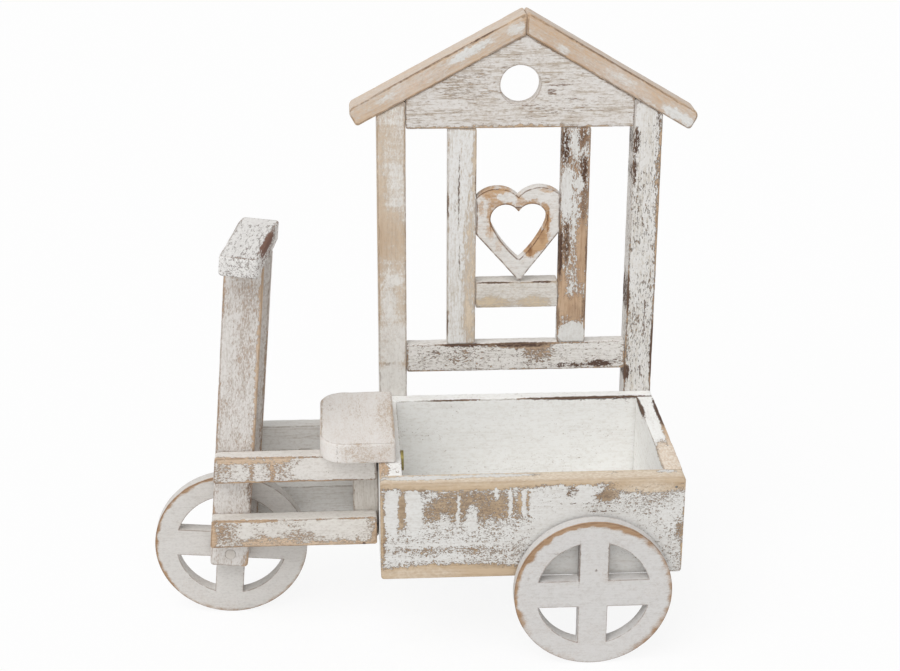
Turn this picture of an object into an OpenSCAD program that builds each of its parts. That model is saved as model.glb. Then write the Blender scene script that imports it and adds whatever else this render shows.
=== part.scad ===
// Wooden tricycle planter: an open plank box on two rear wheels, a railed front frame with
// a raked fork and one front wheel, a seat board, and a small house front behind the box.
// X runs from the front wheel to the rear, Y from the near side to the house, Z up from the ground.
// Places along X and Y are counted from the near front corner of the box, then the whole planter
// is shifted so that the origin lies on the ground under the middle of its outline.

/* [Planter box] */
// Outside length of the box
box_l = 230; // [212:1:250]
// Outside depth of the box, from the near face to the house side
box_d = 166; // [158:1:180]
// Height of the box walls
box_h = 80; // [72:1:92]
// Thickness of the near wall
front_t = 15; // [12:0.5:18]
// Thickness of the wall on the house side
back_t = 12; // [10:0.5:16]
// Thickness of the end wall that carries the front frame
left_end_t = 17.5; // [14:0.5:20]
// Thickness of the rear end wall
right_end_t = 14; // [12:0.5:18]
// Thickness of the floor board
floor_t = 10; // [8:0.5:14]

/* [Wheels and axles] */
// Diameter of all three wheels
wheel_d = 121; // [112:1:124]
// Thickness of the wheel boards
wheel_t = 11; // [10:0.5:12]
// Width of the rim
rim_w = 17; // [12:0.5:20]
// Width of the four spokes
spoke_w = 22.5; // [18:0.5:26]
// Diameter of the axle dowels
axle_d = 8; // [6:0.5:9]
// Depth of the axles below the underside of the box
axle_drop = 10.3; // [9:0.1:14]
// Distance of the rear axle behind the front end of the box
rear_axle_x = 161; // [140:1:168]
// Distance of the front axle ahead of the box
front_reach = 117.5; // [108:0.5:130]
// Space between the box and each rear wheel
wheel_gap = 1.7; // [1:0.1:4]
// Space between the front wheel and each fork post
fork_play = 1.5; // [1:0.1:3]
// Turn of the front wheel where it stands, clockwise from the near side
front_wheel_turn = 4.6; // [0:0.1:45]

/* [Front frame] */
// Distance of the middle of the front frame from the near face of the box
frame_y = 87; // [80:0.5:92]
// Thickness of the four rails
rail_t = 13; // [10:0.5:15]
// Height of the upper rails
upper_rail_h = 22; // [18:0.5:26]
// Height of the lower rails
lower_rail_h = 24; // [18:0.5:28]
// Height of the lower rails above the underside of the box
lower_rail_rise = 2.4; // [0:0.1:6]
// Space between the rail ends and the box
rail_end_gap = 1.5; // [0.5:0.1:3]
// Length of the block between the rails at the box
block_l = 20; // [18:0.5:26]

/* [Fork and handlebar] */
// Width of the fork posts
fork_post_w = 30; // [26:0.5:34]
// Thickness of the fork posts
fork_post_t = 15; // [13:0.5:17]
// Length of the fork posts above the axle
fork_post_l = 242; // [210:1:260]
// Length of the fork posts below the axle
fork_foot = 10.5; // [9:0.1:14]
// Rake of the fork
fork_rake = 4.85; // [3:0.05:8]
// Place of the near post across the fork line
near_post_shift = -0.7; // [-2:0.1:2]
// Place of the far post across the fork line
far_post_shift = 4.6; // [-2:0.1:6]
// Length of the handlebar
bar_l = 98; // [88:1:120]
// Width of the handlebar
bar_w = 30; // [26:0.5:34]
// Thickness of the handlebar
bar_t = 15.5; // [12:0.5:18]
// Turn of the handlebar, seen from above
bar_skew = 7.5; // [0:0.5:10]
// Place of the handlebar across the fork line
bar_shift = 2; // [0:0.1:4]
// Corner radius of the handlebar
bar_corner_r = 3; // [2:0.5:6]

/* [Seat] */
// Length of the seat board
seat_l = 58; // [50:0.5:70]
// Width of the seat board
seat_w = 101.5; // [90:0.5:112]
// Thickness of the seat board
seat_t = 16.5; // [12:0.5:20]
// Overlap of the seat board on the end wall of the box
seat_lap = 13.3; // [8:0.1:14]
// Corner radius of the seat at its front
seat_front_r = 20; // [12:0.5:24]
// Corner radius of the seat at the box
seat_rear_r = 2.5; // [1:0.5:5]

/* [House frame] */
// Width of the two house posts
house_post_w = 23; // [20:0.5:28]
// Depth of the two house posts
house_post_t = 22; // [18:0.5:24]
// Length of the house posts below the top of the box
house_lap = 45; // [36:1:52]
// Distance of the left post from the front end of the box
left_post_inset = 3.8; // [0:0.1:8]
// Distance of the right post from the rear end of the box
right_post_inset = 0; // [0:0.1:8]
// Height of the lower rail above the box
house_rail_z = 20.5; // [15:0.5:28]
// Height of the lower rail itself
house_rail_h = 24; // [18:0.5:28]
// Depth of the lower rail
house_rail_t = 12; // [10:0.5:14]
// Space between the two slats
heart_gap_w = 67.3; // [60:0.1:72]
// Place of the two slats beside the middle of the house
slats_shift = -0.45; // [-3:0.05:3]
// Width of the slats
slat_w = 23.2; // [20:0.1:26]
// Depth of the slats
slat_t = 10; // [8:0.5:12]
// Height of the short rail above the box
heart_rail_z = 75.9; // [68:0.1:78]
// Height of the short rail itself
heart_rail_h = 22.2; // [18:0.1:24]
// Depth of the short rail
heart_rail_t = 15.5; // [12:0.5:18]

/* [Heart] */
// Depth of the heart
heart_t = 10; // [8:0.5:12]
// Radius of the outer lobes
outer_lobe_r = 23.4; // [22:0.1:24]
// Half the distance between the outer lobe centres
outer_lobe_x = 17; // [16:0.1:18]
// Height of the outer lobe centres above the tip
outer_lobe_z = 56.3; // [53:0.1:59]
// Radius of the lobes of the opening
inner_lobe_r = 11.8; // [11:0.1:12.4]
// Half the distance between the lobe centres of the opening
inner_lobe_x = 10.7; // [9.6:0.1:10.9]
// Height of the opening's lobe centres above the outer tip
inner_lobe_z = 53.7; // [52:0.1:55]
// Height of the opening's tip above the outer tip
inner_tip_z = 19.3; // [17:0.1:22]
// Radius of the opening's rounded sides
inner_side_r = 90; // [60:1:160]
// Place of the heart's tip beside the middle of its gap
heart_shift = 1.7; // [0:0.1:2.5]
// Turn of the heart about its tip
heart_turn = 1.2; // [0:0.1:2]

/* [Gable and roof] */
// Height of the roof's underside over the ends of the box
eave_z = 235.7; // [224:0.1:242]
// Height from the lower edge of the gable board to the same level
gable_drop = 9.1; // [8:0.1:14]
// Depth of the gable board
gable_t = 12; // [10:0.5:14]
// Diameter of the round window
window_d = 31; // [20:0.5:34]
// Place of the window beside the ridge
window_shift = -4.2; // [-8:0.1:8]
// Height of the window centre above the lower edge of the gable board
window_rise = 34.6; // [30:0.1:38]
// Place of the ridge beside the middle of the box
ridge_shift = 5.6; // [-6:0.1:6]
// Mean pitch of the roof
roof_pitch = 29.5; // [26:0.1:31]
// Lean of the roof to its right
roof_lean = 1.1; // [0:0.1:1.5]
// Thickness of the roof boards
roof_t = 15.5; // [12:0.5:18]
// Depth of the roof boards
roof_d = 25; // [24:0.5:32]
// Distance the roof stands out before the gable
roof_proud = 1.3; // [0:0.1:3]
// Overhang of the left roof board beyond its post, along its underside
left_eave = 17.7; // [12:0.1:28]
// Overhang of the right roof board beyond its post, along its underside
right_eave = 24.9; // [12:0.1:28]
// Radius of the upper eave corners
eave_r = 5.5; // [3:0.5:7]
// Radius of the lower eave corners
eave_low_r = 3; // [1:0.5:4]

/* [Fasteners] */
// Diameter of the headless brads
brad_d = 1.6; // [1.2:0.1:2]
// Length of the common brads
brad_l = 30; // [26:1:32]
// Length of the long brads in the house frame
long_brad_l = 40; // [34:1:44]
// Length of the short brads in the rails and the axle batten
short_brad_l = 20; // [16:1:22]
// Diameter of the frame bolt shanks
bolt_d = 6; // [5:0.5:7]
// Diameter of the frame bolt heads
bolt_head_d = 16; // [14:0.5:18]
// Thickness of the frame bolt heads
bolt_head_t = 3; // [2:0.5:4]
// Diameter of the insert nuts
insert_d = 9; // [8:0.5:11]

/* [Hidden] */
$fn = 96;
// Radial space of a running fit between a dowel and its bore
running_gap = 0.08;
// Length of a cutter beyond the face that it cuts
over = 1;
// Depth of the brad ends below the surface of the wood
brad_sink = 0.5;

wheel_r = wheel_d / 2;
axle_z = wheel_r;
box_z = axle_z + axle_drop;
box_top = box_z + box_h;

// Front frame
fork_gap = wheel_t + 2 * fork_play;
near_post_y = frame_y - fork_gap / 2 - fork_post_t;
far_post_y = frame_y + fork_gap / 2;
near_rail_y = near_post_y - rail_t;
far_rail_y = far_post_y + fork_post_t;
block_w = far_rail_y - near_post_y;
lower_rail_z = box_z + lower_rail_rise;
upper_rail_z = box_top - upper_rail_h;
fork_foot_r = 3;

// Rear axle: a dowel glued into blind bores in the wheels, turning in a batten under the box
bore_floor_t = 3;
axle_bore_depth = wheel_t - bore_floor_t;
rear_axle_y = -wheel_gap - axle_bore_depth;
rear_axle_l = box_d - 2 * rear_axle_y;
batten_w = 20;
batten_inset = 4;
batten_below_axle = 9.7;
batten_z = axle_z - batten_below_axle;

// House
left_post_x = left_post_inset;
right_post_x = box_l - right_post_inset - house_post_w;
house_inner_x = left_post_x + house_post_w;
house_inner_w = right_post_x - house_inner_x;
gable_z = eave_z - gable_drop;
slat_z = house_rail_z + house_rail_h;
slat_l = gable_z - slat_z;
heart_gap_x = house_inner_x + house_inner_w / 2 + slats_shift - heart_gap_w / 2;
left_slat_x = heart_gap_x - slat_w;
right_slat_x = heart_gap_x + heart_gap_w;
heart_x = heart_gap_x + heart_gap_w / 2 + heart_shift;
heart_z = heart_rail_z + heart_rail_h;

// Roof: the ridge stands over the box as high as the mean pitch takes it from the eave level
left_pitch = roof_pitch - roof_lean;
right_pitch = roof_pitch + roof_lean;
ridge_x = box_l / 2 + ridge_shift;
ridge_z = eave_z + box_l / 2 * tan(roof_pitch);
window_x = ridge_x + window_shift;
window_z = gable_z + window_rise;
left_roof_l = (ridge_x - left_post_x) / cos(left_pitch) + left_eave;
right_roof_l = (right_post_x + house_post_w - ridge_x) / cos(right_pitch) + right_eave;
roof_span = box_l;

// Frame bolts: two, one above the other, through the end wall into nuts in the block
bolt_offset = 4;
upper_bolt_drop = 20;
lower_bolt_rise = 28;
bolt_y = frame_y - bolt_offset;
bolt_heights = [box_top - upper_bolt_drop, box_z + lower_bolt_rise];
bolt_reach = 14;
insert_l = 13;

// Origin: on the ground under the middle of the outline
outline_left = -front_reach - wheel_r;
outline_right = ridge_x + (right_roof_l - eave_r) * cos(right_pitch)
    + (roof_t - eave_r) * sin(right_pitch) + eave_r;
outline_near = -wheel_gap - wheel_t;
outline_far = box_d + max(roof_d - roof_proud, house_post_t, wheel_gap + wheel_t);
origin_shift = [-(outline_left + outline_right) / 2, -(outline_near + outline_far) / 2, 0];

// Directions that brads are driven in
TO_FAR = [-90, 0, 0];
TO_NEAR = [90, 0, 0];
TO_REAR = [0, 90, 0];
TO_FRONT = [0, -90, 0];
DOWN = [180, 0, 0];
UP = [0, 0, 0];

// Brad places: each is a point on a surface and the direction that the brad is driven in
wall_brad_heights = [box_z + 0.35 * box_h, box_z + 0.9 * box_h];
end_wall_middles = [left_end_t / 2, box_l - right_end_t / 2];
floor_brad_xs = [0.35 * box_l, 0.6 * box_l];
floor_brad_z = box_z + floor_t / 2;
box_brads = concat(
    [for (x = end_wall_middles, z = wall_brad_heights) [[x, 0, z], TO_FAR]],
    [for (x = end_wall_middles, z = wall_brad_heights) [[x, box_d, z], TO_NEAR]],
    [for (x = floor_brad_xs) [[x, 0, floor_brad_z], TO_FAR]],
    [for (x = floor_brad_xs) [[x, box_d, floor_brad_z], TO_NEAR]]
);
batten_brad_offset = 7.2;
batten_brads = [
    for (side = [-1, 1], y = [0.3 * box_d, 0.7 * box_d])
        [[rear_axle_x + side * batten_brad_offset, y, box_z + floor_t], DOWN]
];
rail_brad_heights = [lower_rail_z + lower_rail_h / 2, upper_rail_z + upper_rail_h / 2];
frame_brads = [
    for (z = rail_brad_heights, x = [fork_x(z), -block_l / 2], far = [false, true])
        far ? [[x, far_rail_y + rail_t, z], TO_NEAR] : [[x, near_rail_y, z], TO_FAR]
];
seat_brad_xs = [-0.75 * (seat_l - seat_lap), -6];
seat_brads = [
    for (x = seat_brad_xs, y = [near_rail_y, far_rail_y])
        [[x, y + rail_t / 2, box_top + seat_t], DOWN]
];
house_post_middles = [left_post_x + house_post_w / 2, right_post_x + house_post_w / 2];
house_post_brads = [
    for (x = house_post_middles, drop = [0.3 * house_lap, 0.7 * house_lap])
        [[x, box_d + house_post_t, box_top - drop], TO_NEAR]
];
gable_brad_z = box_top + gable_z + 0.55 * gable_drop;
house_rail_brad_z = box_top + house_rail_z + house_rail_h / 2;
slat_middles = [left_slat_x + slat_w / 2, right_slat_x + slat_w / 2];
slat_brad_y = box_d + slat_t / 2;
house_frame_brads = concat(
    [for (z = [gable_brad_z, house_rail_brad_z]) [[left_post_x, slat_brad_y, z], TO_REAR]],
    [for (z = [gable_brad_z, house_rail_brad_z]) [[right_post_x + house_post_w, slat_brad_y, z], TO_FRONT]],
    [for (x = slat_middles) [[x, slat_brad_y, box_top + house_rail_z], UP]]
);
heart_brad_z = box_top + heart_z + outer_lobe_z;
heart_brads = [
    [[left_slat_x, slat_brad_y, heart_brad_z], TO_REAR],
    [[right_slat_x + slat_w, slat_brad_y, heart_brad_z], TO_FRONT]
];
heart_rail_brad_z = box_top + heart_rail_z + heart_rail_h / 2;
heart_rail_brads = [
    [[left_slat_x, slat_brad_y, heart_rail_brad_z], TO_REAR],
    [[right_slat_x + slat_w, slat_brad_y, heart_rail_brad_z], TO_FRONT]
];
// Hidden pins between the slat tops and the gable board, and their middle height
slat_pin_l = 20;
slat_pin_z = box_top + gable_z;

// Colours
whitewash = "#d9d5cc";
washed_tan = "#cfbca3";
bare_wood = "#c4a27a";
steel = "#8d8f90";
yellow_zinc = "#a8985a";
brass = "#b99a52";

// Place of the fork line along X at a height above the ground
function fork_x(z) = -front_reach + (z - axle_z) * tan(fork_rake);

// Place along X of the front edge of a fork post at a height above the ground
function fork_edge_x(z, shift) = fork_x(z) + (shift - fork_post_w / 2) / cos(fork_rake);

// Everything is drawn from the box corner and shifted to the origin here
module placed() {
    translate(origin_shift) children();
}

// A plain board, given its low corner and its size
module board(corner, size) {
    translate(corner) cube(size);
}

// A flat outline in X and Z, made into a board that reaches back from a place in Y
module upright(y, depth) {
    translate([0, y + depth, 0]) rotate([90, 0, 0]) linear_extrude(depth) children();
}

// A board of the house, drawn in X and in height above the box
module house_board(depth) {
    upright(box_d, depth) translate([0, box_top]) children();
}

// The brads of one group
module brads(places, length) {
    for (place = places) {
        translate(place[0]) rotate(place[1]) translate([0, 0, brad_sink])
            cylinder(d = brad_d, h = length);
    }
}

// The holes of one group of brads, open at the surface
module brad_holes(places, length) {
    for (place = places) {
        translate(place[0]) rotate(place[1]) translate([0, 0, -over])
            cylinder(d = brad_d, h = length + brad_sink + over);
    }
}

// A rod along Y
module cross_rod(x, y, z, d, length) {
    translate([x, y, z]) rotate([-90, 0, 0]) cylinder(d = d, h = length);
}

// Children drawn in the frame of the fork: its origin is on the axle, its Z along the rake
module on_fork() {
    translate([-front_reach, 0, axle_z]) rotate([0, fork_rake, 0]) children();
}

// Bolt shanks with some radius, from inside the box into the block
module bolt_shanks(d) {
    for (z = bolt_heights) {
        translate([left_end_t, bolt_y, z]) rotate([0, -90, 0])
            cylinder(d = d, h = left_end_t + bolt_reach);
    }
}

module insert_blanks() {
    for (z = bolt_heights) {
        translate([-insert_l, bolt_y, z]) rotate([0, 90, 0]) cylinder(d = insert_d, h = insert_l);
    }
}

// Planter box

module box_front() {
    color(whitewash) placed() difference() {
        board([0, 0, box_z], [box_l, front_t, box_h]);
        brad_holes(box_brads, brad_l);
    }
}

module box_back() {
    color(whitewash) placed() difference() {
        board([0, box_d - back_t, box_z], [box_l, back_t, box_h]);
        brad_holes(box_brads, brad_l);
        brad_holes(house_post_brads, brad_l);
    }
}

module end_wall(x, thickness) {
    board([x, front_t, box_z], [thickness, box_d - front_t - back_t, box_h]);
}

module box_left_end() {
    color(whitewash) placed() difference() {
        end_wall(0, left_end_t);
        brad_holes(box_brads, brad_l);
        bolt_shanks(bolt_d);
    }
}

module box_right_end() {
    color(whitewash) placed() difference() {
        end_wall(box_l - right_end_t, right_end_t);
        brad_holes(box_brads, brad_l);
    }
}

module box_floor() {
    color(whitewash) placed() difference() {
        board([left_end_t, front_t, box_z],
            [box_l - left_end_t - right_end_t, box_d - front_t - back_t, floor_t]);
        brad_holes(box_brads, brad_l);
        brad_holes(batten_brads, short_brad_l);
    }
}

// Wheels

// A wheel board with its near face in the XZ plane and its axis along Y
module wheel_board() {
    translate([0, wheel_t, 0]) rotate([90, 0, 0]) linear_extrude(wheel_t) {
        difference() {
            circle(r = wheel_r);
            circle(r = wheel_r - rim_w);
        }
        intersection() {
            circle(r = wheel_r - rim_w / 2);
            union() {
                square([wheel_d, spoke_w], center = true);
                square([spoke_w, wheel_d], center = true);
            }
        }
    }
}

module rear_wheel(y, bore_y) {
    color(whitewash) placed() difference() {
        translate([rear_axle_x, y, axle_z]) wheel_board();
        cross_rod(rear_axle_x, bore_y, axle_z, axle_d, axle_bore_depth);
    }
}

module near_rear_wheel() {
    rear_wheel(-wheel_gap - wheel_t, rear_axle_y);
}

module far_rear_wheel() {
    rear_wheel(box_d + wheel_gap, box_d + wheel_gap);
}

module rear_axle() {
    color(bare_wood) placed()
        cross_rod(rear_axle_x, rear_axle_y, axle_z, axle_d, rear_axle_l);
}

module axle_batten() {
    color(whitewash) placed() difference() {
        board([rear_axle_x - batten_w / 2, batten_inset, batten_z],
            [batten_w, box_d - 2 * batten_inset, box_z - batten_z]);
        cross_rod(rear_axle_x, 0, axle_z, axle_d + 2 * running_gap, box_d);
        brad_holes(batten_brads, short_brad_l);
    }
}

module front_wheel() {
    color(whitewash) placed() difference() {
        translate([-front_reach, frame_y - wheel_t / 2, axle_z]) rotate([0, front_wheel_turn, 0]) wheel_board();
        cross_rod(-front_reach, frame_y - wheel_t, axle_z, axle_d + 2 * running_gap, 2 * wheel_t);
    }
}

module front_axle() {
    color(washed_tan) placed()
        cross_rod(-front_reach, near_post_y, axle_z, axle_d, block_w);
}

// Front frame

// A rail from the box to the front edge of its fork post
module rail(y, z, height, shift) {
    upright(y, rail_t) polygon([
        [-rail_end_gap, z],
        [-rail_end_gap, z + height],
        [fork_edge_x(z + height, shift), z + height],
        [fork_edge_x(z, shift), z]
    ]);
}

module upper_rail(y, shift) {
    color(whitewash) placed() difference() {
        rail(y, upper_rail_z, upper_rail_h, shift);
        brad_holes(frame_brads, short_brad_l);
        brad_holes(seat_brads, brad_l);
    }
}

module lower_rail(y, shift) {
    color(whitewash) placed() difference() {
        rail(y, lower_rail_z, lower_rail_h, shift);
        brad_holes(frame_brads, short_brad_l);
    }
}

module near_upper_rail() {
    upper_rail(near_rail_y, near_post_shift);
}

module far_upper_rail() {
    upper_rail(far_rail_y, far_post_shift);
}

module near_lower_rail() {
    lower_rail(near_rail_y, near_post_shift);
}

module far_lower_rail() {
    lower_rail(far_rail_y, far_post_shift);
}

module frame_block() {
    color(whitewash) placed() difference() {
        board([-block_l, near_post_y, lower_rail_z], [block_l, block_w, box_top - lower_rail_z]);
        brad_holes(frame_brads, short_brad_l);
        bolt_shanks(bolt_d);
        insert_blanks();
    }
}

// Fork and handlebar

// Handlebar brads in the frame of the fork, one in each post
module handlebar_brad_set(grow) {
    for (place = [[near_post_shift, near_post_y], [far_post_shift, far_post_y]]) {
        translate([place[0], place[1] + fork_post_t / 2, fork_post_l + bar_t - brad_sink - brad_l])
            cylinder(d = brad_d, h = brad_l + grow);
    }
}

// A fork post with rounded foot corners
module fork_post(y, shift) {
    color(whitewash) placed() difference() {
        on_fork() translate([shift, y + fork_post_t, 0]) rotate([90, 0, 0]) linear_extrude(fork_post_t) {
            translate([-fork_post_w / 2, fork_foot_r - fork_foot])
                square([fork_post_w, fork_post_l + fork_foot - fork_foot_r]);
            translate([fork_foot_r - fork_post_w / 2, -fork_foot])
                square([fork_post_w - 2 * fork_foot_r, fork_foot_r]);
            for (side = [-1, 1]) {
                translate([side * (fork_post_w / 2 - fork_foot_r), fork_foot_r - fork_foot])
                    circle(r = fork_foot_r);
            }
        }
        on_fork() handlebar_brad_set(over);
        brad_holes(frame_brads, short_brad_l);
        cross_rod(-front_reach, near_post_y - over, axle_z, axle_d, block_w + 2 * over);
    }
}

module near_fork_post() {
    fork_post(near_post_y, near_post_shift);
}

module far_fork_post() {
    fork_post(far_post_y, far_post_shift);
}

// A flat outline with rounded corners: one radius at low X, another at high X
module rounded_outline(length, width, low_r, high_r) {
    translate([low_r, 0]) square([length - low_r - high_r, width]);
    translate([0, low_r]) square([low_r, width - 2 * low_r]);
    translate([length - high_r, high_r]) square([high_r, width - 2 * high_r]);
    for (y = [low_r, width - low_r]) {
        translate([low_r, y]) circle(r = low_r);
    }
    for (y = [high_r, width - high_r]) {
        translate([length - high_r, y]) circle(r = high_r);
    }
}

module handlebar() {
    color(whitewash) placed() on_fork() difference() {
        translate([bar_shift, frame_y, fork_post_l]) rotate([0, 0, -bar_skew])
            translate([-bar_w / 2, -bar_l / 2, 0]) linear_extrude(bar_t)
            rounded_outline(bar_w, bar_l, bar_corner_r, bar_corner_r);
        handlebar_brad_set(over);
    }
}

module seat() {
    color(washed_tan) placed() difference() {
        translate([seat_lap - seat_l, frame_y - seat_w / 2, box_top]) linear_extrude(seat_t)
            rounded_outline(seat_l, seat_w, seat_front_r, seat_rear_r);
        brad_holes(seat_brads, brad_l);
    }
}

// House frame

// All that lies under the roof boards, in X and in height above the box
module under_roof() {
    polygon([
        [ridge_x, ridge_z],
        [ridge_x - roof_span, ridge_z - roof_span * tan(left_pitch)],
        [ridge_x - roof_span, -box_h],
        [ridge_x + roof_span, -box_h],
        [ridge_x + roof_span, ridge_z - roof_span * tan(right_pitch)]
    ]);
}

module house_post(x) {
    color(whitewash) placed() difference() {
        house_board(house_post_t) intersection() {
            translate([x, -house_lap]) square([house_post_w, house_lap + ridge_z]);
            under_roof();
        }
        brad_holes(house_post_brads, brad_l);
        brad_holes(house_frame_brads, long_brad_l);
        roof_brad_set(over);
    }
}

module house_left_post() {
    house_post(left_post_x);
}

module house_right_post() {
    house_post(right_post_x);
}

module house_rail() {
    color(whitewash) placed() difference() {
        house_board(house_rail_t)
            translate([house_inner_x, house_rail_z]) square([house_inner_w, house_rail_h]);
        brad_holes(house_frame_brads, long_brad_l);
    }
}

// Pins hidden in the joint between each slat and the gable board
module slat_pin_set() {
    for (x = slat_middles) {
        translate([x, slat_brad_y, slat_pin_z - slat_pin_l / 2]) cylinder(d = brad_d, h = slat_pin_l);
    }
}

module slat(x) {
    color(whitewash) placed() difference() {
        house_board(slat_t) translate([x, slat_z]) square([slat_w, slat_l]);
        brad_holes(house_frame_brads, long_brad_l);
        brad_holes(heart_brads, brad_l);
        brad_holes(heart_rail_brads, long_brad_l);
        slat_pin_set();
    }
}

module left_slat() {
    slat(left_slat_x);
}

module right_slat() {
    slat(right_slat_x);
}

module heart_rail() {
    color(whitewash) placed() difference() {
        house_board(heart_rail_t)
            translate([heart_gap_x, heart_rail_z]) square([heart_gap_w, heart_rail_h]);
        brad_holes(heart_rail_brads, long_brad_l);
    }
}

// The two round lobes of a heart
module heart_lobes(lobe_r, lobe_x, lobe_z) {
    for (side = [-1, 1]) {
        translate([side * lobe_x, lobe_z]) circle(r = lobe_r);
    }
}

// Outside of the heart: straight sides run from the lobes to the tip at the origin
module heart_outside() {
    reach = norm([outer_lobe_x, outer_lobe_z]);
    side_angle = atan2(outer_lobe_z, outer_lobe_x) - asin(outer_lobe_r / reach);
    touch = [outer_lobe_x, outer_lobe_z] + outer_lobe_r * [sin(side_angle), -cos(side_angle)];
    heart_lobes(outer_lobe_r, outer_lobe_x, outer_lobe_z);
    polygon([
        [0, 0],
        touch,
        [outer_lobe_x, outer_lobe_z],
        [-outer_lobe_x, outer_lobe_z],
        [-touch[0], touch[1]]
    ]);
}

// Opening of the heart: each side is an arc through the tip that touches its lobe from outside
module heart_opening() {
    lobe = [inner_lobe_x, inner_lobe_z];
    tip = [0, inner_tip_z];
    reach = norm(lobe - tip);
    lobe_side = inner_side_r - inner_lobe_r;
    tip_angle = acos((reach * reach + inner_side_r * inner_side_r - lobe_side * lobe_side)
        / (2 * reach * inner_side_r));
    arc_angle = atan2(lobe[1] - tip[1], lobe[0]) + tip_angle;
    arc_middle = tip + inner_side_r * [cos(arc_angle), sin(arc_angle)];
    outward = (lobe - arc_middle) / norm(lobe - arc_middle);
    beyond = lobe + 2 * inner_lobe_r * outward;
    heart_lobes(inner_lobe_r, inner_lobe_x, inner_lobe_z);
    intersection() {
        translate(arc_middle) circle(r = inner_side_r, $fn = 360);
        translate([-arc_middle[0], arc_middle[1]]) circle(r = inner_side_r, $fn = 360);
        polygon([
            [beyond[0], tip[1] - over],
            beyond,
            lobe,
            [-lobe[0], lobe[1]],
            [-beyond[0], beyond[1]],
            [-beyond[0], tip[1] - over]
        ]);
    }
}

module heart() {
    color(washed_tan) placed() difference() {
        house_board(heart_t) intersection() {
            translate([heart_x, heart_z]) rotate(heart_turn) difference() {
                heart_outside();
                heart_opening();
            }
            translate([heart_gap_x, heart_rail_z]) square([heart_gap_w, gable_z - heart_rail_z]);
        }
        brad_holes(heart_brads, brad_l);
    }
}

module gable_board() {
    color(whitewash) placed() difference() {
        house_board(gable_t) difference() {
            intersection() {
                translate([house_inner_x, gable_z]) square([house_inner_w, ridge_z - gable_z]);
                under_roof();
            }
            translate([window_x, window_z]) circle(d = window_d);
        }
        brad_holes(house_frame_brads, long_brad_l);
        slat_pin_set();
        roof_brad_set(over);
    }
}

// Roof

// Outline of a roof board that falls to the right from a plumb cut at the ridge
module roof_outline(length, pitch) {
    intersection() {
        rotate(-pitch) {
            translate([-roof_t, 0]) square([length + roof_t - eave_r, roof_t]);
            translate([length - eave_r - over, 0]) square([eave_r + over - eave_low_r, roof_t - eave_r]);
            translate([length - eave_r, eave_low_r]) square([eave_r, roof_t - eave_r - eave_low_r]);
            translate([length - eave_r, roof_t - eave_r]) circle(r = eave_r);
            translate([length - eave_low_r, eave_low_r]) circle(r = eave_low_r);
        }
        translate([0, -roof_span]) square([roof_span, 2 * roof_span]);
    }
}

// Roof brads, square to the boards: one over each post and one on each side of the ridge
module roof_brad_set(grow) {
    post_reach = [
        ridge_x - house_post_middles[0],
        house_post_middles[1] - ridge_x
    ];
    for (side = [0, 1]) {
        pitch = side == 0 ? left_pitch : right_pitch;
        depths = [house_post_t / 2, gable_t / 2];
        reaches = [post_reach[side] / cos(pitch), 0.3 * left_roof_l];
        for (i = [0, 1]) {
            translate([ridge_x, box_d + depths[i], box_top + ridge_z]) mirror([1 - side, 0, 0])
                rotate([0, pitch, 0]) translate([reaches[i], 0, roof_t - brad_sink - brad_l])
                cylinder(d = brad_d, h = brad_l + grow);
        }
    }
}

// A roof board: side is -1 for the left one, 1 for the right one
module roof_board(length, pitch, side) {
    color(washed_tan) placed() difference() {
        upright(box_d - roof_proud, roof_d) translate([ridge_x, box_top + ridge_z])
            mirror([side < 0 ? 1 : 0, 0]) roof_outline(length, pitch);
        roof_brad_set(over);
    }
}

module left_roof_board() {
    roof_board(left_roof_l, left_pitch, -1);
}

module right_roof_board() {
    roof_board(right_roof_l, right_pitch, 1);
}

// Fasteners

module frame_bolts() {
    color(yellow_zinc) placed() {
        bolt_shanks(bolt_d);
        for (z = bolt_heights) {
            translate([left_end_t, bolt_y, z]) rotate([0, 90, 0])
                cylinder(d = bolt_head_d, h = bolt_head_t);
        }
    }
}

module insert_nuts() {
    color(brass) placed() difference() {
        insert_blanks();
        bolt_shanks(bolt_d);
    }
}

module box_brads() {
    color(steel) placed() brads(box_brads, brad_l);
}

module batten_brads() {
    color(steel) placed() brads(batten_brads, short_brad_l);
}

module frame_brads() {
    color(steel) placed() brads(frame_brads, short_brad_l);
}

module seat_brads() {
    color(steel) placed() brads(seat_brads, brad_l);
}

module handlebar_brads() {
    color(steel) placed() on_fork() handlebar_brad_set(0);
}

module house_post_brads() {
    color(steel) placed() brads(house_post_brads, brad_l);
}

module house_frame_brads() {
    color(steel) placed() brads(house_frame_brads, long_brad_l);
}

module heart_brads() {
    color(steel) placed() {
        brads(heart_brads, brad_l);
        brads(heart_rail_brads, long_brad_l);
    }
}

module roof_brads() {
    color(steel) placed() roof_brad_set(0);
}

module slat_pins() {
    color(steel) placed() slat_pin_set();
}

box_front();
box_back();
box_left_end();
box_right_end();
box_floor();
axle_batten();
rear_axle();
near_rear_wheel();
far_rear_wheel();
near_upper_rail();
far_upper_rail();
near_lower_rail();
far_lower_rail();
frame_block();
near_fork_post();
far_fork_post();
front_axle();
front_wheel();
handlebar();
seat();
house_left_post();
house_right_post();
house_rail();
left_slat();
right_slat();
heart_rail();
heart();
gable_board();
left_roof_board();
right_roof_board();
frame_bolts();
insert_nuts();
box_brads();
batten_brads();
frame_brads();
seat_brads();
handlebar_brads();
house_post_brads();
house_frame_brads();
heart_brads();
roof_brads();
slat_pins();
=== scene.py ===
"""Looks of the wooden tricycle planter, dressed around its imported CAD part.

Every board is made again as a worn board: its edges are rounded and chipped, its faces are a
little uneven, and a brushed whitewash lies over bare wood. Sizes are in millimetres and counted
as in the part's source: X and Y from the near front corner of the box, Z from the ground.
"""

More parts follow.
